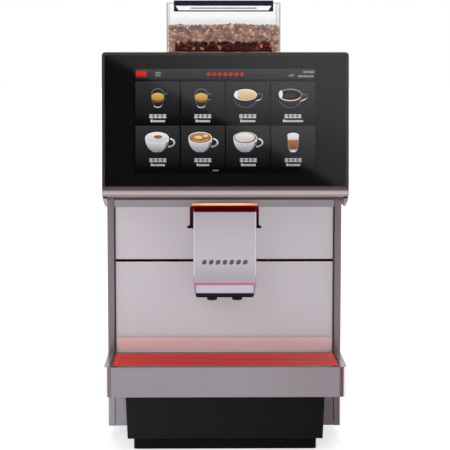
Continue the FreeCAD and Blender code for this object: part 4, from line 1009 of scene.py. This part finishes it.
world = bpy.data.worlds.new("studio")
scene.world = world
world.use_nodes = True
nt = world.node_tree
nt.nodes.clear()
wo = nt.nodes.new("ShaderNodeOutputWorld")
bg = nt.nodes.new("ShaderNodeBackground")
nt.links.new(bg.outputs[0], wo.inputs[0])
tc = nt.nodes.new("ShaderNodeTexCoord")
sp = nt.nodes.new("ShaderNodeSeparateXYZ")
nt.links.new(tc.outputs["Generated"], sp.inputs[0])


def math_node(op, a, b=None, c=None, clamp=False):
    n = nt.nodes.new("ShaderNodeMath")
    n.operation = op
    n.use_clamp = clamp
    for k, v in enumerate((a, b, c)):
        if v is None:
            continue
        if isinstance(v, (int, float)):
            n.inputs[k].default_value = v
        else:
            nt.links.new(v, n.inputs[k])
    return n.outputs[0]


X, Y, Z = sp.outputs
front = math_node("MAXIMUM", math_node("MULTIPLY", Y, -1.0), 0.02)      # towards the camera side
u = math_node("DIVIDE", X, front)
w = math_node("DIVIDE", Z, front)


def smooth(v, a, b):
    n = nt.nodes.new("ShaderNodeMapRange")
    n.interpolation_type = "SMOOTHSTEP"
    n.inputs["From Min"].default_value = a
    n.inputs["From Max"].default_value = b
    nt.links.new(v, n.inputs["Value"])
    return n.outputs["Result"]


# a light card hung at a slant above a dark part of the studio, in front of the machine
slant = math_node("ADD", w, math_node("MULTIPLY", u, 0.57))
card = smooth(slant, 0.1335, 0.1395)
fade = math_node("MULTIPLY", card, math_node("ADD", 0.52, math_node("MULTIPLY", smooth(slant, 0.137, 0.20), 0.53)))
low_front = math_node("MULTIPLY", smooth(w, 0.36, 0.26), smooth(math_node("ABSOLUTE", u), 0.45, 0.32))
in_front = smooth(math_node("MULTIPLY", Y, -1.0), 0.05, 0.3)
zone = math_node("MULTIPLY", low_front, in_front)
dark = math_node("ADD", fade, 0.05)
# darker flags at both sides of the camera
side = math_node("MULTIPLY", smooth(math_node("ABSOLUTE", u), 0.3, 0.5), smooth(math_node("ABSOLUTE", u), 2.6, 1.5))
side = math_node("MULTIPLY", side, in_front)
base = math_node("SUBTRACT", 1.0, math_node("MULTIPLY", side, 0.72))
level = math_node("ADD", math_node("MULTIPLY", base, math_node("SUBTRACT", 1.0, zone)), math_node("MULTIPLY", dark, zone))
level = math_node("MULTIPLY", level, math_node("ADD", 1.0, math_node("MULTIPLY", smooth(Z, 0.35, 0.8), 0.15)))
nt.links.new(level, bg.inputs["Strength"])
bg.inputs["Color"].default_value = (1.0, 1.0, 1.0, 1.0)


def area(name, loc, target, size, power, color=(1, 1, 1), glossy=False):
    d = bpy.data.lights.new(name, "AREA")
    d.shape = "RECTANGLE"
    d.size, d.size_y = size
    d.energy = power
    d.color = color
    o = bpy.data.objects.new(name, d)
    scene.collection.objects.link(o)
    o.location = loc
    o.rotation_euler = (Vector(target) - Vector(loc)).to_track_quat("-Z", "Y").to_euler()
    o.visible_glossy = glossy
    o.visible_camera = False
    return o


area("key", (-1.6, -2.6, 1.9), (0, -0.1, 0.35), (1.4, 1.4), 26)
area("fill", (1.9, -2.4, 1.3), (0, -0.1, 0.3), (1.4, 1.4), 14)
area("top", (0, 0.2, 2.6), (0, 0, 0.4), (2.0, 2.0), 22)
